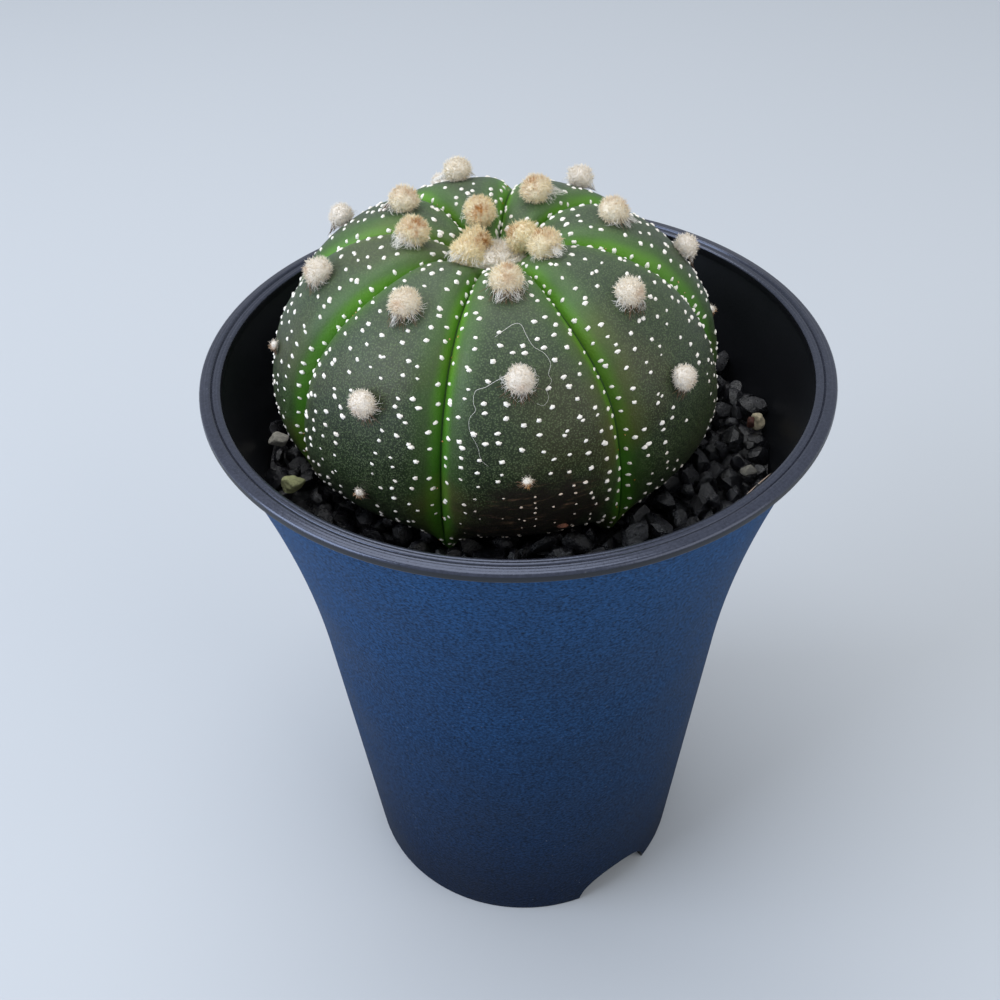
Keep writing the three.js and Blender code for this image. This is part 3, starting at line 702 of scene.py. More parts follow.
store(skin.data, cork=cork_at(skin_verts))
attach(skin, "root")
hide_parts("cactus_body")
print("cork at", cork_middle.round(1))

# %% [markdown]
# ## Scattering shapes
# Flecks and grit are the same idea: many small shapes on known points, each turned and sized on its
# own. One tree does both. Each point keeps the number of its shape in a collection, and the tree
# stands that shape on the point's direction, turns it to the point's heading, tilts it at random,
# scales it by the point's size, and makes it real.

# %% Scatter tree
tree, given, result = new_tree("scattered shapes", {
    "Shapes": "Collection", "Tilt": "Float", "Seed": "Int", "Finish": "Material"})
shapes = add_node(tree, "GeometryNodeCollectionInfo", {
    "Collection": given.outputs["Shapes"], "Separate Children": True, "Reset Children": True})
facing, size, heading = (
    add_node(tree, "GeometryNodeInputNamedAttribute", {"Name": name}, data_type="FLOAT_VECTOR")
    for name in ("facing", "size", "heading"))
standing = add_node(tree, "FunctionNodeAlignRotationToVector", {"Vector": facing}, axis="Z")
standing = add_node(tree, "FunctionNodeAlignRotationToVector", {
    "Rotation": standing, "Vector": heading}, axis="X", pivot_axis="Z")
back = add_node(tree, "ShaderNodeMath", {
    0: given.outputs["Tilt"], 1: -1.0}, operation="MULTIPLY").outputs[0]
least, most = (add_node(tree, "ShaderNodeCombineXYZ", {"X": tilt, "Y": tilt, "Z": tilt})
               for tilt in (back, given.outputs["Tilt"]))
spin = add_node(tree, "FunctionNodeRandomValue", {
    "Min": least, "Max": most, "Seed": given.outputs["Seed"]}, data_type="FLOAT_VECTOR")
spin = add_node(tree, "FunctionNodeEulerToRotation", {0: spin})
turned = add_node(tree, "FunctionNodeRotateRotation", {
    "Rotation": standing, "Rotate By": spin}, rotation_space="LOCAL")
which = add_node(tree, "GeometryNodeInputNamedAttribute", {"Name": "shape"}, data_type="INT")
placed = add_node(tree, "GeometryNodeInstanceOnPoints", {
    "Points": given.outputs["Geometry"], "Instance": shapes, "Pick Instance": True,
    "Instance Index": which, "Rotation": turned, "Scale": size})
real = add_node(tree, "GeometryNodeRealizeInstances", {0: placed})
finish = add_node(tree, "GeometryNodeSetMaterial", {
    0: real, "Material": given.outputs["Finish"]})
feed(tree, result, {0: finish})
scatter_tree = tree
print("scatter tree:", len(tree.nodes), "nodes")


def shape_collection(name, meshes):
    """A collection of shapes that isn't part of the scene, for a tree to pick from."""
    collection = bpy.data.collections.new(name)
    for number, mesh in enumerate(meshes):
        collection.objects.link(bpy.data.objects.new(f"{name}_{number}", mesh))
    return collection


# %% [markdown]
# ## Flecks
# The white flecks are tiny mats of hair, 0.7 to 0.9 mm across, nearly two hundred on each rib. They
# stand in rows that run beside the creases and drift as they grow apart. Each is drawn as a flat
# ragged disc with a raised middle, a few dozen faces, which is enough for something six pixels
# wide. Old ones have a dark pinhole in the middle, where the hairs have come away.

# %% Ragged discs for the flecks
FLECK_SPOKES = 13
FLECK_SHAPES = 5  # of each sort
FLECK_TIP = 0.9  # how pale the flecks and other loose hairs are, from root to tip


def ragged_disc(seed, worn):
    """A flat round mat of one unit across with a hairy edge, and a pinhole if it is worn."""
    random = np.random.default_rng(seed)
    jitter = random.uniform(-0.3, 0.3, FLECK_SPOKES)
    turns = 2 * math.pi * (np.arange(FLECK_SPOKES) + jitter) / FLECK_SPOKES
    outer = 0.5 * random.uniform(0.66, 1.16, FLECK_SPOKES)
    rings = [(outer, -0.12), (outer * 0.72, 0.16), (np.full(FLECK_SPOKES, 0.13), 0.3)]
    points = [(reach * math.cos(a), reach * math.sin(a), level + random.uniform(-0.04, 0.04))
              for ring, level in rings for reach, a in zip(ring, turns)]
    points.append((0, 0, -0.1 if worn else 0.34))
    faces = []
    for j in range(FLECK_SPOKES):
        k = (j + 1) % FLECK_SPOKES
        for row in (0, FLECK_SPOKES):
            faces.append((row + j, row + k, row + FLECK_SPOKES + k, row + FLECK_SPOKES + j))
        faces.append((2 * FLECK_SPOKES + j, 2 * FLECK_SPOKES + k, 3 * FLECK_SPOKES))
    mesh = mesh_of("fleck", points, faces, unit=1)
    store(mesh, tip=[FLECK_TIP] * (len(points) - 1) + [0.0 if worn else FLECK_TIP],
          shade=np.append(np.tile(random.uniform(0, 0.35, FLECK_SPOKES), 3), 0.2))
    return mesh


fleck_shapes = shape_collection("fleck_shapes", [
    ragged_disc(seed, seed >= FLECK_SHAPES) for seed in range(2 * FLECK_SHAPES)])

# %% [markdown]
# Where the flecks stand follows from the crease: lines of them run 1.3 mm, 3.9 mm, 6.5 mm and more
# beside it, as many as fit on the half rib at that height, each line a little behind the last. The
# tufts stand on the ridges in one spiral, each five ribs on from the last, and flecks keep clear of
# them. Brown crumbs of dead hair lie along the creases, and a column of pale scars runs down in
# front.

# %% Places of the flecks
FLECK_LINES = (1.3, 3.9, 6.5, 9.0, 11.6)  # millimetres from the crease
FLECK_STEPS = (2.2, 1.85, 1.95, 2.0, 2.0)  # between flecks along a line
FLECK_START = 5.5
FLECK_END = 60.0
FLECK_GAPS = 0.06  # share of the flecks that are missing
CROWN_END = 16.0  # flecks nearer to the crown than this are still close together and drawn out
TUFT_CLEARANCE = 2.9
TUFT_COUNT = 21
DRY_TUFT_COUNT = 6
TUFT_RADII = (2.45, 1.8)  # of the youngest and of the oldest, before they dry up
DRY_TUFT_RADIUS = 0.9
RIB_STRETCH = (1, 0.96, 0.93, 0.87, 0.84, 0.87, 0.98, 1.01)


def tuft_places():
    """Age, rib, reach down it and radius of each tuft, from the youngest, as the CAD has them."""
    first, last = TUFT_RADII
    places = []
    for age in range(TUFT_COUNT + DRY_TUFT_COUNT):
        rib = (5 + 5 * age) % RIBS
        reach_down = RIB_STRETCH[rib] * (4.6 + (1.5 + 0.006 * age) * age)
        radius = DRY_TUFT_RADIUS if age >= TUFT_COUNT else first + (last - first) * age / TUFT_COUNT
        places.append((age, rib, reach_down, radius))
    return places


def skin_at(rib, across, reach_down):
    """A point of the skin in millimetres and the direction away from it."""
    def at(a, r):
        return skin_points(np.array(rib), np.array(a), along_at(np.array(r)))
    down = at(across, reach_down + 0.2) - at(across, reach_down - 0.2)
    left, right = max(across - 0.01, -0.4999), min(across + 0.01, 0.4999)
    normal = np.cross(down, at(right, reach_down) - at(left, reach_down))
    return at(across, reach_down), normal / np.linalg.norm(normal)


tufts = tuft_places()
tuft_points = np.array([skin_at(rib, 0.0, reach_down)[0] for _, rib, reach_down, _ in tufts])


def place_beside_crease(rib, side, distance, reach_down):
    """Where across a rib a place so far from its crease is, or None past the ridge."""
    part = travelled[int(np.argmin(np.abs(reach_rows - reach_down))), rib]
    ridge = part[RIB_COLUMNS // 2]
    if not 0.2 < distance < (ridge if side < 0 else part[-1] - ridge):
        return None
    round_ring = distance if side < 0 else part[-1] - distance
    return float(np.interp(round_ring, part, np.append(across_rib, 0.5)))


def fleck_places():
    """Point, direction, heading, size and brownness of each fleck."""
    random = np.random.default_rng(11)
    places = []
    for rib in range(RIBS):
        for side in (-1, 1):
            for line, (distance, step) in enumerate(zip(FLECK_LINES, FLECK_STEPS)):
                reach_down = FLECK_START + line * 0.9 + random.uniform(0, step)
                while reach_down < FLECK_END:
                    near_crown = max(0, 1 - reach_down / CROWN_END)
                    here = reach_down + random.normal(0, 0.5)
                    beside = distance * (1 - 0.45 * near_crown) + random.normal(0, 0.4)
                    across = place_beside_crease(rib, side, beside, here)
                    reach_down += step * random.uniform(0.8, 1.2) * (1 - 0.4 * near_crown)
                    if across is None or random.random() < FLECK_GAPS:
                        continue
                    point, normal = skin_at(rib, across, here)
                    if np.linalg.norm(tuft_points - point, axis=1).min() < TUFT_CLEARANCE:
                        continue
                    heading = skin_at(rib, across, here + 0.5)[0] - point
                    width = random.uniform(0.66, 0.93) * (1 if here < 48 else 0.8)
                    narrow = width * random.uniform(0.68, 0.86)
                    drawn_out = (width * (1 + 0.4 * near_crown), narrow, narrow)
                    fleck_size = drawn_out if near_crown else (narrow, width, narrow)
                    places.append((point, normal, heading, fleck_size, 0))
    return places


SPECKS = 90  # orange-brown crumbs of dead hair, 0.2 to 0.4 mm, along the edges of the creases
SCAR_DOTS = [(535, 497), (535, 503), (536, 508), (535, 513), (536, 519), (535, 526)]  # pixels


def speck_places():
    """Brown crumbs beside the creases, and the column of small pale scars down the front rib."""
    random = np.random.default_rng(31)
    places = []
    while len(places) < SPECKS:
        rib, side, here = random.integers(RIBS), random.choice([-1, 1]), random.uniform(12, 58)
        across = place_beside_crease(rib, side, abs(random.normal(0.7, 0.5)), here)
        if across is not None:
            width = random.uniform(0.2, 0.42)
            places.append((*skin_at(rib, across, here), random.normal(size=3),
                           (width, width * 0.6, width), 1))
    for pixel in SCAR_DOTS:
        spot, away = seen_skin(*pixel)
        width = random.uniform(0.42, 0.7)
        places.append((np.array(spot) / MM, np.array(away), random.normal(size=3),
                       (width,) * 3, 0.3))
    return places


fleck_points, fleck_facing, fleck_headings, fleck_sizes, fleck_browns = (
    np.array(part) for part in zip(*fleck_places(), *speck_places()))
print("flecks:", len(fleck_points))

# %% [markdown]
# ## Wool: finish
# Areole wool is a mat of fine dead hairs, like felt. Young wool is cream with streaks of
# orange-brown, and old wool has bleached to a warm white. Hairs are painted darker towards the
# root, as shade deep in the dense mat, so the nap shows. The surface is dry, with a little sheen.
# Its points say how young, how brown and how near to a hair's tip they are. A brownness over 1 is
# for dead, dark hairs.

# %% Material: matted plant wool
wool_finish, tree, shader, where = new_material("matted plant wool")
youth, brown, shade, tip = (
    add_node(tree, "ShaderNodeAttribute", attribute_name=name).outputs["Fac"]
    for name in ("youth", "brown", "shade", "tip"))
white, cream = (
    add_node(tree, "ShaderNodeMix", {"Factor": shade, "A": one, "B": other}, data_type="RGBA")
    for one, other in (("#fffcf7", "#f4e8d4"), ("#fff8da", "#f7e0a8")))
clumps = add_node(tree, "ShaderNodeTexNoise", {
    "Vector": where, "Scale": 1 / (0.7 * MM), "Detail": 3.0, "Roughness": 0.7})
stained = add_node(tree, "ShaderNodeMath", {
    0: clumps, 1: 4.5, 2: -1.3}, operation="MULTIPLY_ADD", use_clamp=True)
stained = add_node(tree, "ShaderNodeMath", {
    0: stained, 1: brown}, operation="MULTIPLY", use_clamp=True)
dead = add_node(tree, "ShaderNodeMapRange", {"Value": brown, "From Min": 1.0, "From Max": 2.0})
hair = white
for cover, coat in ((youth, cream), (stained, "#b87826"), (dead, "#59432f")):
    hair = add_node(tree, "ShaderNodeMix", {
        "Factor": cover, "A": hair, "B": coat}, data_type="RGBA")
# Painted shade: towards a hair's root its colour is mixed with a darker tan.
root = add_node(tree, "ShaderNodeMix", {
    "Factor": 0.4, "A": hair, "B": "#b3966a"}, data_type="RGBA")
colour = add_node(tree, "ShaderNodeMix", {"Factor": tip, "A": root, "B": hair}, data_type="RGBA")
feed(tree, shader, {"Roughness": 0.85, "Specular IOR Level": 0.2, "Sheen Weight": 0.3,
                    "Base Color": colour})

# %% Scattering the flecks
WORN_SHARE = 0.75  # of the flecks low down
random = np.random.default_rng(12)
number = len(fleck_points)
fleck_cork = cork_at(fleck_points)
low_down = fleck_points[:, 2] < PLANT_BASE + random.uniform(8, 20, number)
worn = low_down & (random.random(number) < WORN_SHARE)
fleck_base = mesh_of("fleck_points", fleck_points)
store(fleck_base, facing=fleck_facing, heading=fleck_headings,
      shape=random.integers(0, FLECK_SHAPES, number) + FLECK_SHAPES * worn,
      size=fleck_sizes * MM * (1 - 0.35 * fleck_cork[:, None]),
      brown=np.maximum.reduce([0.45 * fleck_cork, 0.12 * worn, fleck_browns]))
flecks = grown("white_flecks", scatter_tree, fleck_base, {
    "Shapes": fleck_shapes, "Tilt": 0.25, "Seed": 5, "Finish": wool_finish})
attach(flecks, "root")
print("flecks:", triangles(flecks), "triangles")

# %% [markdown]
# ## Wool tufts: cushions
# Each tuft is the felted areole of a star cactus: a firm round cushion of hair, 4 to 5 mm across,
# on the ridge of its rib. Under the hairs there is a core, a lumpy cushion that sits on the skin.
# Its points keep which way the hairs grow there, how young the wool is and how much of it has gone
# brown.

# %% Cushions under the wool
WOOL_CORE = 0.74  # of the tuft's radius: hairs cover the rest
DRY_CORE = 0.6  # the same for the shrunken tufts low down
CORE_TIP = 0.3  # the cushion's own colour lies between the painted shade of hair roots and hair tips


def tuft_frame(rib, reach_down):
    """Place, outward, downward and sideways directions of a tuft, as arrays in millimetres."""
    point, outward = skin_at(rib, 0.0, reach_down)
    downward = skin_at(rib, 0.0, reach_down + 0.5)[0] - point
    downward -= outward * (downward @ outward)
    downward /= np.linalg.norm(downward)
    return point, outward, downward, np.cross(outward, downward)


def normalised(ways):
    """Directions, one in each row, drawn to unit length."""
    return ways / np.linalg.norm(ways, axis=1)[:, None]


ball = bmesh.new()
bmesh.ops.create_icosphere(ball, subdivisions=4, radius=1)
ball_points = np.array([vert.co for vert in ball.verts])
ball_faces = np.array([[vert.index for vert in face.verts] for face in ball.faces])
ball.free()


def cushion(age, rib, reach_down, radius):
    """Points, hair directions, youth and brownness of one tuft's cushion."""
    point, outward, downward, aside = tuft_frame(rib, reach_down)
    x, y, z = ball_points.T
    lumps = noise_at(ball_points * 1.9, (age * 7.3, 0, 0))
    dry = age >= TUFT_COUNT
    core = DRY_CORE if dry else WOOL_CORE
    across = radius * core * (1 + 0.06 * (1 - np.abs(z)) + 0.16 * lumps)
    height = radius * (0.66 + (0.5 if dry else 0.7) * z * (1 + 0.08 * lumps))
    points = (point + np.outer(x * across, downward) + np.outer(y * across, aside)
              + np.outer(height, outward))
    hairs = np.outer(x, downward) + np.outer(y, aside) + np.outer(z * 0.8 + 0.45, outward)
    youth = np.clip(1.15 - age / 12, 0, 1)
    # Brown wool: a band along the lower edge, and bristles aslant over the top while it is young
    band = np.exp(-((x - 0.62) / 0.3) ** 2) * np.clip(1.2 - 1.6 * np.abs(y), 0, 1) * (z > -0.2)
    band *= 0.45 if 2 < age < 14 else 0.25
    if dry:
        band = np.clip(0.4 + 1.4 * x, 0, 1)
    aslant = x + 0.3 + 0.5 * math.sin(2.1 * age) * (y - 0.1)
    streaks = noise_at(ball_points * (2.2, 6, 0), (0, 0, age * 3.7))
    bristles = 1.25 - np.hypot(aslant / 0.55, (y - 0.2) / 0.6) + 1.3 * streaks
    bristles = np.clip(bristles, 0, 1) * (z > 0) * np.clip(1.8 - age / 6, 0, 1)
    return points, normalised(hairs), np.full(len(x), youth), np.maximum(band, bristles)


def joined(name, parts, tip):
    """One mesh of several cushions, with what their hairs need."""
    points, hairs, youth, brown = (np.concatenate(part) for part in zip(*parts))
    faces = np.concatenate([ball_faces + i * len(ball_points) for i in range(len(parts))])
    mesh = mesh_of(name, points, faces.tolist())
    store(mesh, facing=hairs, youth=youth, brown=brown, tip=np.full(len(points), tip))
    return mesh


print("one cushion:", len(ball_faces), "triangles")

# %% [markdown]
# ## Wool tufts: hairs
# Real wool has thousands of hairs to a tuft. Here more than a thousand short tapered strands are
# spread over each cushion, enough to break its edge and give it a nap. A tree does it: points over
# the faces, a strand on each along the direction that the cushion keeps, a random tilt and length.

# %% Strand shapes and the wool tree
STRAND_WIDTH = 0.055  # half its width, as a share of its length
STRAND_BENDS = (0.1, 0.35, 0.6)
THIRDS = [2 * math.pi * corner / 3 for corner in range(3)]  # corners of a three-sided hair
ROOT_SHADE_TONES = {  # how pale the strands are at the root, from 0 to 1, where the rest is painted shade
    "young_wool": 0.7, "grown_wool": 0.35, "old_wool": 0.2, "dry_wool": 0.1,
    "crown_felt_wool": 0.9}


def strand_mesh(bend, root_tone):
    """A tapered three-sided unit strand that bends over. Its root has its own painted shade."""
    points = [(STRAND_WIDTH * width * math.cos(a) + bend * level ** 2,
               STRAND_WIDTH * width * math.sin(a), level)
              for level, width in ((0, 1), (0.55, 0.8)) for a in THIRDS]
    faces = []
    for corner in range(3):
        after = (corner + 1) % 3
        faces += [(corner, after, 3 + after, 3 + corner), (3 + corner, 3 + after, 6)]
    mesh = mesh_of("strand", [*points, (bend, 0, 1)], faces, unit=1)
    store(mesh, tip=[root_tone] * 3 + [0.85] * 3 + [1])
    return mesh


strands_of = {
    name: shape_collection(name + "_strands", [strand_mesh(bend, tone) for bend in STRAND_BENDS])
    for name, tone in ROOT_SHADE_TONES.items()}

tree, given, result = new_tree("wool over cushions", {
    "Strands": "Collection", "Hairs per square metre": "Float", "Shortest": "Float",
    "Longest": "Float", "Tilt": "Float", "Seed": "Int", "Finish": "Material"})
cores, tilt, seed = (given.outputs[name] for name in ("Geometry", "Tilt", "Seed"))
strands = add_node(tree, "GeometryNodeCollectionInfo", {
    "Collection": given.outputs["Strands"], "Separate Children": True, "Reset Children": True})
roots = add_node(tree, "GeometryNodeDistributePointsOnFaces", {
    "Mesh": cores, "Density": given.outputs["Hairs per square metre"], "Seed": seed})
facing = add_node(tree, "GeometryNodeInputNamedAttribute", {
    "Name": "facing"}, data_type="FLOAT_VECTOR")
standing = add_node(tree, "FunctionNodeAlignRotationToVector", {"Vector": facing}, axis="Z")
back = add_node(tree, "ShaderNodeMath", {0: tilt, 1: -1.0}, operation="MULTIPLY")
least = add_node(tree, "ShaderNodeCombineXYZ", {"X": back, "Y": back})
most = add_node(tree, "ShaderNodeCombineXYZ", {"X": tilt, "Y": tilt, "Z": 2 * math.pi})
lean = add_node(tree, "FunctionNodeRandomValue", {
    "Min": least, "Max": most, "Seed": seed}, data_type="FLOAT_VECTOR")
lean = add_node(tree, "FunctionNodeEulerToRotation", {0: lean})
turned = add_node(tree, "FunctionNodeRotateRotation", {
    "Rotation": standing, "Rotate By": lean}, rotation_space="LOCAL")
length = add_node(tree, "FunctionNodeRandomValue", {
    "Min": given.outputs["Shortest"], "Max": given.outputs["Longest"],
    "Seed": seed}, data_type="FLOAT")
which = add_node(tree, "FunctionNodeRandomValue", {
    "Min": 0, "Max": 999, "Seed": seed}, data_type="INT")
hairs = add_node(tree, "GeometryNodeInstanceOnPoints", {
    "Points": roots.outputs["Points"], "Instance": strands, "Pick Instance": True,
    "Instance Index": which, "Rotation": turned, "Scale": length})
shade = add_node(tree, "FunctionNodeRandomValue", {"Seed": seed}, data_type="FLOAT")
hairs = add_node(tree, "GeometryNodeStoreNamedAttribute", {
    "Geometry": hairs, "Name": "shade", "Value": shade}, data_type="FLOAT", domain="INSTANCE")
real = add_node(tree, "GeometryNodeRealizeInstances", {0: hairs})
both = add_node(tree, "GeometryNodeJoinGeometry")
for layer in (cores, real):
    feed(tree, both, {0: layer})
finish = add_node(tree, "GeometryNodeSetMaterial", {
    0: both, "Material": given.outputs["Finish"]})
feed(tree, result, {0: finish})
wool_tree = tree
print("wool tree:", len(tree.nodes), "nodes")

# %% Wool on the tufts
WOOL_GROUPS = {  # name: ages, hairs per square millimetre, shortest and longest hair, tilt
    "young_wool": (range(2, 8), 32, 0.45, 0.85, 0.6),
    "grown_wool": (range(8, 15), 32, 0.4, 0.8, 0.75),
    "old_wool": (range(15, 21), 32, 0.35, 0.7, 0.85),
    "dry_wool": (range(21, 27), 32, 0.25, 0.6, 0.9),
}
tuft_nodes = []
for age, rib, _, _ in tufts:
    kind = "dry_tuft" if age >= TUFT_COUNT else "wool_tuft"
    earlier = sum(other == rib for _, other, _, _ in tufts[:age])
    tuft_nodes.append(f"rib_{rib + 1}_{kind}_{earlier + 1}")


def wool_over(name, parts, tip, density, shortest, longest, tilt, seed=3):
    """Cushions with hairs all over them, so many on a square millimetre."""
    return grown(name, wool_tree, joined(name + "_cores", parts, tip), {
        "Strands": strands_of[name], "Hairs per square metre": density * 1e6,
        "Shortest": shortest * MM, "Longest": longest * MM, "Tilt": tilt, "Seed": seed,
        "Finish": wool_finish})


for name, (ages, *nap) in WOOL_GROUPS.items():
    wool = wool_over(name, [cushion(*tufts[age]) for age in ages], CORE_TIP, *nap)
    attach(wool, "root")
    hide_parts(*[tuft_nodes[age] for age in ages])
    print(name + ":", triangles(wool), "triangles")

# %% [markdown]
# ## Crown felt
# The crown is a small hollow where the ribs begin. The two youngest tufts stand in it, and the
# hollow between the tufts is bridged by loose white felt, which runs a few millimetres out into
# the creases. The bridge is a low lumpy cap with the same wool on it, a little thinner and laid
# flatter.

# %% Felt in the crown
FELT_RADII = (5.2, 4.0)
FELT_HEIGHT = 1.6
FELT_LIFT = 1.05  # of its middle over the bottom of the hollow
FELT_YOUTH = 0.1
FELT_TIP = 0.9
FELT_NAP = (26, 0.45, 1.0, 1.1)  # hairs per square millimetre, shortest and longest hair, tilt


def felt_cap():
    """The same four arrays as a tuft's cushion has, for the cap over the hollow."""
    x, y, z = ball_points.T
    lumps = noise_at(ball_points * 2.4, (0, 31, 0))
    swell = 0.9 + 0.3 * lumps
    points = crown_middle + np.stack([
        x * swell * FELT_RADII[0], y * swell * FELT_RADII[1],
        FELT_LIFT + FELT_HEIGHT * (0.5 * z + 0.3 * lumps)], -1)
    hairs = normalised(ball_points * (1, 1, 0.3) + (0, 0, 0.25))
    return points, hairs, np.full(len(x), FELT_YOUTH), np.zeros(len(x))


felt_parts = [cushion(*tufts[0]), cushion(*tufts[1]), felt_cap()]
felt = wool_over("crown_felt_wool", felt_parts, FELT_TIP, *FELT_NAP, seed=8)
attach(felt, "root")
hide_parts("crown_felt")
print("crown felt:", triangles(felt), "triangles")

# %% [markdown]
# ## Fringes and loose hairs
# Under most tufts hang one or two white beards, 1 to 2.5 mm long: hairs that start spread along the
# tuft's lower edge and draw together to a point. White felt also runs out along the bottoms of the
# creases, and a few long wavy hairs of lint lie on the front rib. Each hair is its own wandering
# line, so they are thin tubes made in mesh code from their paths.

# %% Tubes along paths
TINY = 1e-9  # keeps a division by a length from failing


def hair_tubes(name, paths, thickness):
    """Tapered three-sided tubes along paths in millimetres, as one mesh."""
    points, faces = [], []
    for path, width in zip(paths, thickness):
        path = np.asarray(path)
        along = np.gradient(path, axis=0)
        along /= np.linalg.norm(along, axis=1)[:, None] + TINY
        aside = np.cross(along, [0.31, 0.52, 0.79])
        aside /= np.linalg.norm(aside, axis=1)[:, None] + TINY
        other = np.cross(along, aside)
        start, last = len(points), len(path) - 1
        for i in range(last):
            taper = width * (1 - 0.6 * i / last)
            for a in THIRDS:
                points.append(path[i] + taper * (math.cos(a) * aside[i] + math.sin(a) * other[i]))
        points += [path[-1], path[0]]
        tip, root = start + 3 * last, start + 3 * last + 1
        for corner in range(3):
            after = (corner + 1) % 3
            faces.append((root, start + after, start + corner))
            for low in range(start, tip - 3, 3):
                faces.append((low + corner, low + after, low + 3 + after, low + 3 + corner))
            faces.append((tip - 3 + corner, tip - 3 + after, tip))
    return mesh_of(name, points, faces)


def keep_off_skin(path, gap):
    """Lifts the points of a path that would lie in the skin to a small gap above it."""
    for i, p in enumerate(path):
        spot, away, _, _ = skin_tree.find_nearest(Vector(p) * MM)
        above = (Vector(p) - spot / MM).dot(away)
        if above < gap:
            path[i] = p + np.array(away) * (gap - above)
    return path


print("hairs have", len(THIRDS), "sides")

# %% Paths of the beards, the dead hairs and the felt in the creases
BEARDS = {  # beards of a tuft, by its age: sideways lean in radians, length in millimetres, hairs
    2: [(-0.2, 0.9, 16)], 3: [(0.1, 1.6, 30), (-0.5, 1.0, 14)], 4: [(-0.3, 1.1, 20)],
    5: [(0.6, 1.5, 28)], 6: [(-0.85, 1.9, 30), (0.8, 1.9, 30)],
    7: [(-0.5, 1.2, 18), (0.4, 1.1, 18)], 8: [(0.2, 1.5, 24)],
    9: [(0.1, 2.3, 34), (-0.7, 1.1, 14)], 10: [(-0.2, 1.3, 22)],
    11: [(0.9, 2.3, 26), (-0.1, 2.1, 22)], 12: [(0.3, 1.2, 18)], 13: [(-0.3, 1.1, 16)],
    14: [(0.45, 1.8, 14), (-0.4, 0.9, 12)], 15: [(0.0, 1.0, 12)], 16: [(-0.3, 1.0, 12)],
    17: [(0.1, 1.3, 12)], 18: [(0.2, 0.8, 10)],
}
STRAYS = 34  # short loose hairs round the lower half of each tuft
WISPS = 30  # dark dead hairs under each tuft that is no longer young
FIRST_WISPS = 7  # age of the youngest tuft that has them
CREASE_HAIRS = 30
SHORT_CREASES = (1, 3, 4)  # where the felt doesn't reach so far out


def fringe_paths():
    """Beards that hang from the lower side of the tufts, and short stray hairs round them."""
    random = np.random.default_rng(21)
    steps = np.linspace(0, 1, 8)
    paths = []
    for age, beards in BEARDS.items():
        _, rib, reach_down, radius = tufts[age]
        point, outward, downward, aside = tuft_frame(rib, reach_down)

        def spot(angle, out, up):
            way = downward * math.cos(angle) + aside * math.sin(angle)
            return point + way * out + outward * up

        plans = [(lean, length * random.uniform(0.6, 1.05), 0.35, 0.1)
                 for lean, length, hairs in beards for _ in range(hairs)]
        plans += [(random.uniform(-2, 2), random.uniform(0.25, 0.65), 0.05, 0.25)
                  for _ in range(STRAYS)]
        for lean, length, spread, scatter in plans:
            start = spot(lean + random.normal(0, spread), 0.8 * radius,
                         random.uniform(0.2, 0.8) * radius)
            end = spot(lean + random.normal(0, scatter), 0.95 * radius + length, 0.15)
            bend = spot(lean + random.normal(0, spread), 1.15 * radius,
                        random.uniform(0.1, 0.6) * radius)
            path = (np.outer((1 - steps) ** 2, start) + np.outer(2 * steps * (1 - steps), bend)
                    + np.outer(steps ** 2, end))
            curl = random.uniform(0.03, 0.11) * np.sin(
                steps * random.uniform(4, 11) + random.uniform(0, 6))
            path += np.outer(curl * steps, aside) + np.outer(0.5 * curl * steps, outward)
            paths.append(keep_off_skin(path, 0.06))
    return paths


def wisp_paths():
    """Dark dead hairs, up to 2 mm long, that hang curled under the older tufts."""
    random = np.random.default_rng(23)
    steps = np.linspace(0, 1, 6)
    paths = []
    for age, rib, reach_down, radius in tufts[FIRST_WISPS:]:
        point, outward, downward, aside = tuft_frame(rib, reach_down)
        for _ in range(WISPS):
            angle = random.normal(0, 0.55)
            way = downward * math.cos(angle) + aside * math.sin(angle)
            length = random.uniform(0.8, 2.0)
            out = radius * 0.8 + steps * length * (1 if age < TUFT_COUNT else 0.5)
            curl = random.uniform(-0.25, 0.25) * np.sin(steps * random.uniform(2, 6))
            lift = random.uniform(0.1, 0.7) * radius * (1 - steps) + 0.1
            path = point + np.outer(out, way) + np.outer(curl, aside) + np.outer(lift, outward)
            paths.append(keep_off_skin(path, 0.05))
    return paths


def crease_felt_paths():
    """Matted hairs that lie along the first few millimetres of each crease."""
    random = np.random.default_rng(22)
    paths = []
    for rib in range(RIBS):
        for _ in range(CREASE_HAIRS):
            start = random.uniform(2.0, 5.2) * (1 if rib in SHORT_CREASES else 1.3)
            reaches = start + np.linspace(0, random.uniform(1.2, 2.6), 6)
            across = -0.5 + abs(random.normal(0, 0.035))
            path = np.array([
                skin_at(rib, min(across + 0.002 * i, 0.49), r)[0] for i, r in enumerate(reaches)])
            path += random.normal(0, 0.1, 3) + (0, 0, random.uniform(0.05, 0.5))
            paths.append(keep_off_skin(path, 0.05))
    return paths


print("beards:", sum(len(beards) for beards in BEARDS.values()), "on", len(BEARDS), "tufts")

# %% Lint, straws and the mesh of all loose hairs
LINT_LINES = [  # pixels of the photograph that the longest loose hairs cross
    [(495, 338), (503, 332), (514, 325), (521, 326), (526, 336), (533, 347), (544, 354),
     (550, 364), (548, 374), (551, 381), (546, 389), (548, 398), (543, 405), (536, 403)],
    [(506, 376), (496, 381), (486, 387), (476, 391), (474, 402), (476, 410), (470, 419),
     (471, 432), (478, 446), (481, 458), (489, 466)],
]
LINT_LIFT = 0.3
STRAWS = [((31.6, -17.6, 88.9), (33.5, -15.3, 89.0)), ((33.4, -15.8, 89.3), (35.8, -13.2, 89.2))]


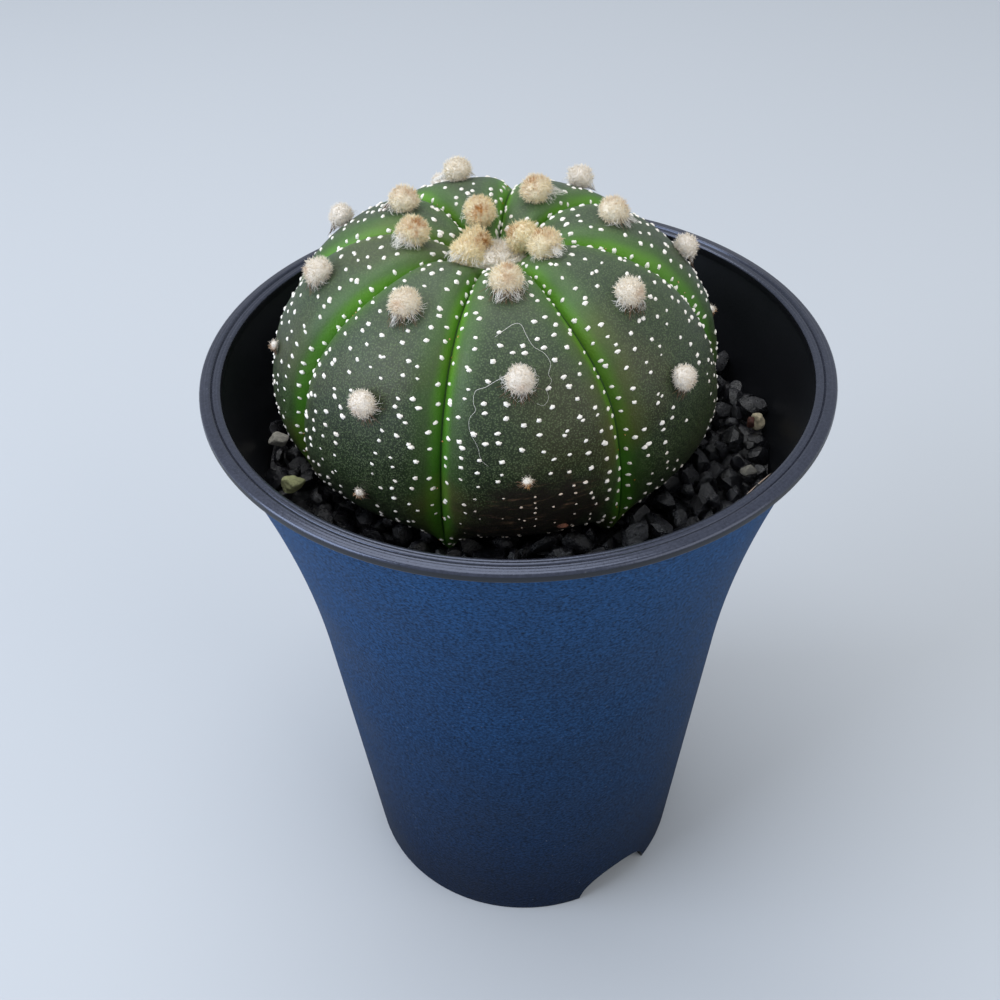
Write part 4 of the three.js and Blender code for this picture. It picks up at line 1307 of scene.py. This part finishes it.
def lint_path(line):
    """A smooth path over the skin through the places where the camera sees these pixels."""
    spots = []
    for pixel in line:
        spot, away = seen_skin(*pixel)
        spots.append(np.array((spot + away * LINT_LIFT * MM) / MM))
    path = smooth_outline(np.array(spots), np.linspace(0, 1, 6 * len(spots)))
    return keep_off_skin(path, 0.1)


LOOSE_HAIRS = [  # paths in millimetres, half a hair's width, brownness
    (fringe_paths() + crease_felt_paths(), 0.028, 0),
    (wisp_paths(), 0.045, 1.9),
    ([lint_path(line) for line in LINT_LINES], 0.026, 0),
    ([np.linspace(start, end, 4) for start, end in STRAWS], 0.11, 0.6),
]
fringes, widths, browns = [], [], []
for paths, width, brownness in LOOSE_HAIRS:
    fringes += paths
    widths += [width] * len(paths)
    browns += [brownness] * sum(3 * len(path) - 1 for path in paths)
fringe = plain_object("fringe_hairs", hair_tubes("fringe_hairs", fringes, widths))
store(fringe.data, tip=np.full(len(browns), FLECK_TIP), brown=browns)
fringe.data.materials.append(wool_finish)
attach(fringe, "root")
print("fringes:", len(fringes), "hairs,", triangles(fringe), "triangles")

# %% [markdown]
# ## Grit: stones
# The top dressing is crushed black lava, 3 to 6 mm, washed and glossy. Crushed stone is all flat
# breaks and blunt edges, so a stone is a ball that some planes have cut, where only the sharper
# edges are shaded as edges. Sixteen shapes, drawn out and turned every way, never look repeated.

# %% Crushed stone shapes
STONE_SHAPES = 16
CHIPPING = 0.04  # how uneven the breaks are
SHARP_EDGE = 28  # degrees between faces


def crushed_stone(seed, subdivisions=2, breaks=10):
    """A ball of unit radius cut flat by random breaks, with blunt edges."""
    random = np.random.default_rng(seed)
    ways = normalised(random.normal(size=(breaks, 3)))
    depths = random.uniform(0.55, 0.92, breaks)
    lump = bmesh.new()
    bmesh.ops.create_icosphere(lump, subdivisions=subdivisions, radius=1)
    for vert in lump.verts:
        way = np.array(vert.co.normalized())
        facing_break = np.maximum(ways @ way, 0.05)
        reach_out = np.min(np.append(depths / facing_break, 1.05))
        chip = CHIPPING * noise.noise(Vector(way * 3.1) + Vector((seed * 5.1, 0, 0)))
        vert.co = Vector(way * (reach_out + chip))
    mesh = bpy.data.meshes.new("crushed_stone")
    lump.to_mesh(mesh)
    lump.free()
    mesh.shade_smooth()
    mesh.set_sharp_from_angle(angle=math.radians(SHARP_EDGE))
    return mesh


stone_shapes = shape_collection("stone_shapes", [
    crushed_stone(seed) for seed in range(STONE_SHAPES)])

# %% [markdown]
# ## Grit: places
# Stones lie in three loose layers in the ring between the plant and the wall, with chips on top.
# Places are tried at random with a fixed seed, and one is kept where the stone clears the wall, the
# plant and the stones that already lie there. A stone may sink a little into its neighbours' gaps.

# %% Places of the stones
GRIT_LAYERS = [  # height of the stones' middles, their smallest and largest half width, tries
    (83.9, 1.5, 2.9, 5200), (85.2, 1.5, 2.9, 5200), (86.4, 1.7, 3.1, 5200), (86.7, 1.1, 1.5, 700)]
GRIT_RING = (18, 39)  # nearest to the pot's axis, and farthest
STONE_ROOM = 0.95  # of its half width, from its middle to the wall or the plant
STONE_SPACING = 0.76  # of both half widths, from its middle to a neighbour's
PALE_STONES = {  # name: place, half sizes, colour
    "pale_stone_left_back": ((-35.6, -2, 87.8), (1.9, 1.6, 1.3), "#cfcbbd"),
    "pale_stone_left_front": ((-32.4, -12.4, 87.8), (2, 1.7, 1.6), "#cfd39a"),
    "pale_stone_right": ((35.9, 0.6, 87.8), (1.3, 1.3, 1.6), "#e4d6b4"),
}
FRONT_STONES = [(661, 501), (636, 517), (690, 478)]  # pixels of stones that stand out
FRONT_STONE_HEIGHT = 86.9
FRONT_STONE_HALF = 1.9


def stone_places():
    """Place and half width of each black stone, in millimetres."""
    random = np.random.default_rng(4)
    placed = [(np.array(place), max(half)) for place, half, _ in PALE_STONES.values()]
    kept = []
    for pixel in FRONT_STONES:
        way = sight_line(*pixel)
        place = CAMERA_PLACE + way * ((FRONT_STONE_HEIGHT * MM - CAMERA_PLACE.z) / way.z)
        kept.append((np.array(place) / MM, FRONT_STONE_HALF))
    placed += kept
    for layer, smallest, largest, tries in GRIT_LAYERS:
        for _ in range(tries):
            reach_out = math.sqrt(random.uniform(GRIT_RING[0] ** 2, GRIT_RING[1] ** 2))
            angle = random.uniform(0, 2 * math.pi)
            half = random.uniform(smallest, largest)
            place = np.array([reach_out * math.cos(angle), reach_out * math.sin(angle),
                              layer + random.uniform(-0.5, 0.5)])
            room = STONE_ROOM * half
            if reach_out + room > wall_radius(place[2]) - WALL:
                continue
            spot, away, _, distance = skin_tree.find_nearest(Vector(place) * MM)
            if distance / MM < room or (Vector(place) * MM - spot).dot(away) < 0:
                continue
            if all(np.linalg.norm(place - other) > STONE_SPACING * (half + size)
                   for other, size in placed):
                placed.append((place, half))
                kept.append((place, half))
    return kept


stones = stone_places()
random = np.random.default_rng(9)
stone_base = mesh_of("stone_points", [place for place, _ in stones])
store(stone_base, shape=random.integers(0, STONE_SHAPES, len(stones)),
      facing=random.normal(size=(len(stones), 3)), heading=random.normal(size=(len(stones), 3)),
      size=MM * np.array([
          [random.uniform(1.1, 1.45) * half, half, random.uniform(0.75, 0.95) * half]
          for _, half in stones]))
print("stones:", len(stones))

# %% [markdown]
# ## Grit: finish
# Black volcanic rock, IOR about 1.55. Fresh breaks are glassy and old ones dull, so the gloss
# changes from patch to patch, and fine pits of about half a millimetre break it up. The blacks
# change a little from patch to patch too. The pale stones and the small finds share this recipe.

# %% Material: crushed black lava


def stone_finish(name, dark, light, dull, glossy):
    """A stone between two colours and between two roughnesses."""
    material, tree, shader, where = new_material(name)
    patches = add_node(tree, "ShaderNodeTexNoise", {
        "Vector": where, "Scale": 1 / (3.5 * MM), "Detail": 3.0, "Roughness": 0.6})
    pits = add_node(tree, "ShaderNodeTexNoise", {
        "Vector": where, "Scale": 1 / (0.6 * MM), "Detail": 5.0, "Roughness": 0.7})
    mottle = add_node(tree, "ShaderNodeMath", {0: patches, 1: pits}, operation="MULTIPLY")
    mottle = add_node(tree, "ShaderNodeMapRange", {
        "Value": mottle, "From Min": 0.15, "From Max": 0.38})
    colour = add_node(tree, "ShaderNodeMix", {
        "Factor": mottle, "A": dark, "B": light}, data_type="RGBA")
    roughness = add_node(tree, "ShaderNodeMapRange", {
        "Value": patches, "From Min": 0.35, "From Max": 0.62, "To Min": glossy, "To Max": dull})
    relief = add_node(tree, "ShaderNodeBump", {
        "Height": pits, "Distance": 0.28 * MM, "Strength": 0.9})
    feed(tree, shader, {"IOR": 1.55, "Specular IOR Level": 0.75, "Base Color": colour,
                        "Roughness": roughness, "Normal": relief})
    return material


lava = stone_finish("crushed black lava", "#060607", "#222228", 0.36, 0.1)
print("stone finish:", len(lava.node_tree.nodes), "nodes")

# %% The bed under the stones, and the finished grit
BED_SIDES = 96
BED_ROWS = [  # radius, 0 for the pot's wall, height, and how far the ring follows the plant's foot
    (13.4, 81.85, 1), (27, 81.85, 0.4), (0, 81.85, 0), (0, 84.0, 0),
    (32, 84.1, 0.2), (26, 84.0, 0.5), (20, 83.8, 1), (13.4, 82.05, 1)]
LUMPY_ROWS = (4, 5, 6)
LUMPS = 0.3
BED_GAP = 0.3  # to the wall


def bed_ring():
    """A closed lumpy ring of fine grit that fills the gaps under the stones."""
    points, faces = [], []
    for level, (radius, height, round_plant) in enumerate(BED_ROWS):
        reach_out = radius or wall_radius(height) - WALL - BED_GAP
        for side in range(BED_SIDES):
            angle = 2 * math.pi * side / BED_SIDES
            x, y = PLANT_FOOT * round_plant + reach_out * np.array([
                math.cos(angle), math.sin(angle)])
            lump = noise.noise(Vector((x, y, level)) / 2) if level in LUMPY_ROWS else 0
            points.append((x, y, height + LUMPS * lump))
            after = (side + 1) % BED_SIDES
            here, above = level * BED_SIDES, (level + 1) % len(BED_ROWS) * BED_SIDES
            faces.append((here + side, here + after, above + after, above + side))
    return points, faces


stones_object = grown("stones", scatter_tree, stone_base, {
    "Shapes": stone_shapes, "Tilt": 3.1, "Seed": 2, "Finish": lava})
bed = mesh_of("bed", *bed_ring(), smooth=False)
whole = bmesh.new()
whole.from_mesh(bed)
bmesh.ops.recalc_face_normals(whole, faces=whole.faces)
whole.from_mesh(stones_object.data)
grit_mesh = bpy.data.meshes.new("black_grit")
whole.to_mesh(grit_mesh)
whole.free()
grit_mesh.materials.append(lava)
bpy.data.objects.remove(stones_object)
grit = plain_object("black_grit", grit_mesh)
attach(grit, "root")
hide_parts("grit_top_dressing")
print("grit:", triangles(grit), "triangles")

# %% [markdown]
# ## Pale stones
# Three pale grains of pumice and limestone lie among the black ones. They are rounder, dull and
# rough, so each is a softer hull, divided once more and roughened, on its CAD stone's place.

# %% Pale stones
ROUGHNESS_SIZE = 0.7
ROUGHNESS_DEPTH = 0.09
DARKER = 0.72  # of the pale colour, for its darker patches


def stone_at(name, seed, breaks, place, half):
    """A finer crushed stone as an object, at its place and with its half sizes."""
    stone = plain_object(name, crushed_stone(seed, 3, breaks))
    stretch = Matrix.Diagonal((*[side * MM for side in half], 1))
    stone.data.transform(Matrix.Translation(Vector(place) * MM) @ stretch)
    return stone


for number, (name, (place, half, colour)) in enumerate(PALE_STONES.items()):
    hull = stone_at(name + "_hull", 50 + number, 16, place, half)
    softened = hull.modifiers.new("soft", "SUBSURF")
    softened.levels = softened.render_levels = 1
    depsgraph = bpy.context.evaluated_depsgraph_get()
    soft_mesh = bpy.data.meshes.new_from_object(hull.evaluated_get(depsgraph), depsgraph=depsgraph)
    bpy.data.objects.remove(hull)
    for vert in soft_mesh.vertices:
        rough = noise.noise(vert.co / (ROUGHNESS_SIZE * MM)) * ROUGHNESS_DEPTH * MM
        vert.co += vert.normal * rough
    pebble = plain_object(name + "_pebble", soft_mesh)
    darker = "#" + "".join(f"{int(int(colour[i:i + 2], 16) * DARKER):02x}" for i in (1, 3, 5))
    pebble.data.materials.append(
        stone_finish("dull pumice " + str(number + 1), darker, colour, 0.95, 0.8))
    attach(pebble, "root")
    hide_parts(name)
    print(name, triangles(pebble), "triangles")

# %% [markdown]
# ## Small finds
# Among the grit lie a chip of grey stone and a red-brown bit, and a red-brown scab sits on the cork
# of the front rib. They are the same crushed shapes, small and flat, each with its own finish.

# %% Chips and the scab
SCAB_PIXEL = (562, 525)
scab_place = tuple(seen_skin(*SCAB_PIXEL)[0] / MM)
FINDS = {  # name: place, half sizes, dark colour, light colour
    "grey_chip": ((32.7, -12.3, 88.9), (1.3, 1.0, 0.9), "#55534d", "#a09c8e"),
    "red_brown_bit": ((34.6, -1.2, 88.9), (0.8, 0.8, 0.9), "#35170d", "#6d3420"),
    "scab": (scab_place, (0.9, 0.35, 0.5), "#3a1c12", "#8a5237"),
}
for number, (name, (place, half, dark, light)) in enumerate(FINDS.items()):
    chip = stone_at(name, 70 + number, 12, place, half)
    chip.data.materials.append(
        stone_finish(name.replace("_", " ") + " surface", dark, light, 0.9, 0.6))
    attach(chip, "root")
    print(name, triangles(chip), "triangles")

# %% [markdown]
# ## Soil
# Under the grit is ordinary peat potting soil. Almost none of it shows, so the CAD solid stays,
# with a crumbly dark brown finish.

# %% Material: peat potting soil
soil_finish, tree, shader, where = new_material("peat potting soil")
crumbs = add_node(tree, "ShaderNodeTexNoise", {
    "Vector": where, "Scale": 1 / (2.5 * MM), "Detail": 6.0, "Roughness": 0.7})
colour = add_node(tree, "ShaderNodeMix", {
    "Factor": crumbs, "A": "#1a110b", "B": "#56402e"}, data_type="RGBA")
relief = add_node(tree, "ShaderNodeBump", {
    "Height": crumbs, "Distance": 0.8 * MM, "Strength": 0.9})
feed(tree, shader, {"Roughness": 0.95, "Base Color": colour, "Normal": relief})
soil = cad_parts["potting_soil"]
soil.data.materials.clear()
soil.data.materials.append(soil_finish)
print("soil keeps its CAD solid")
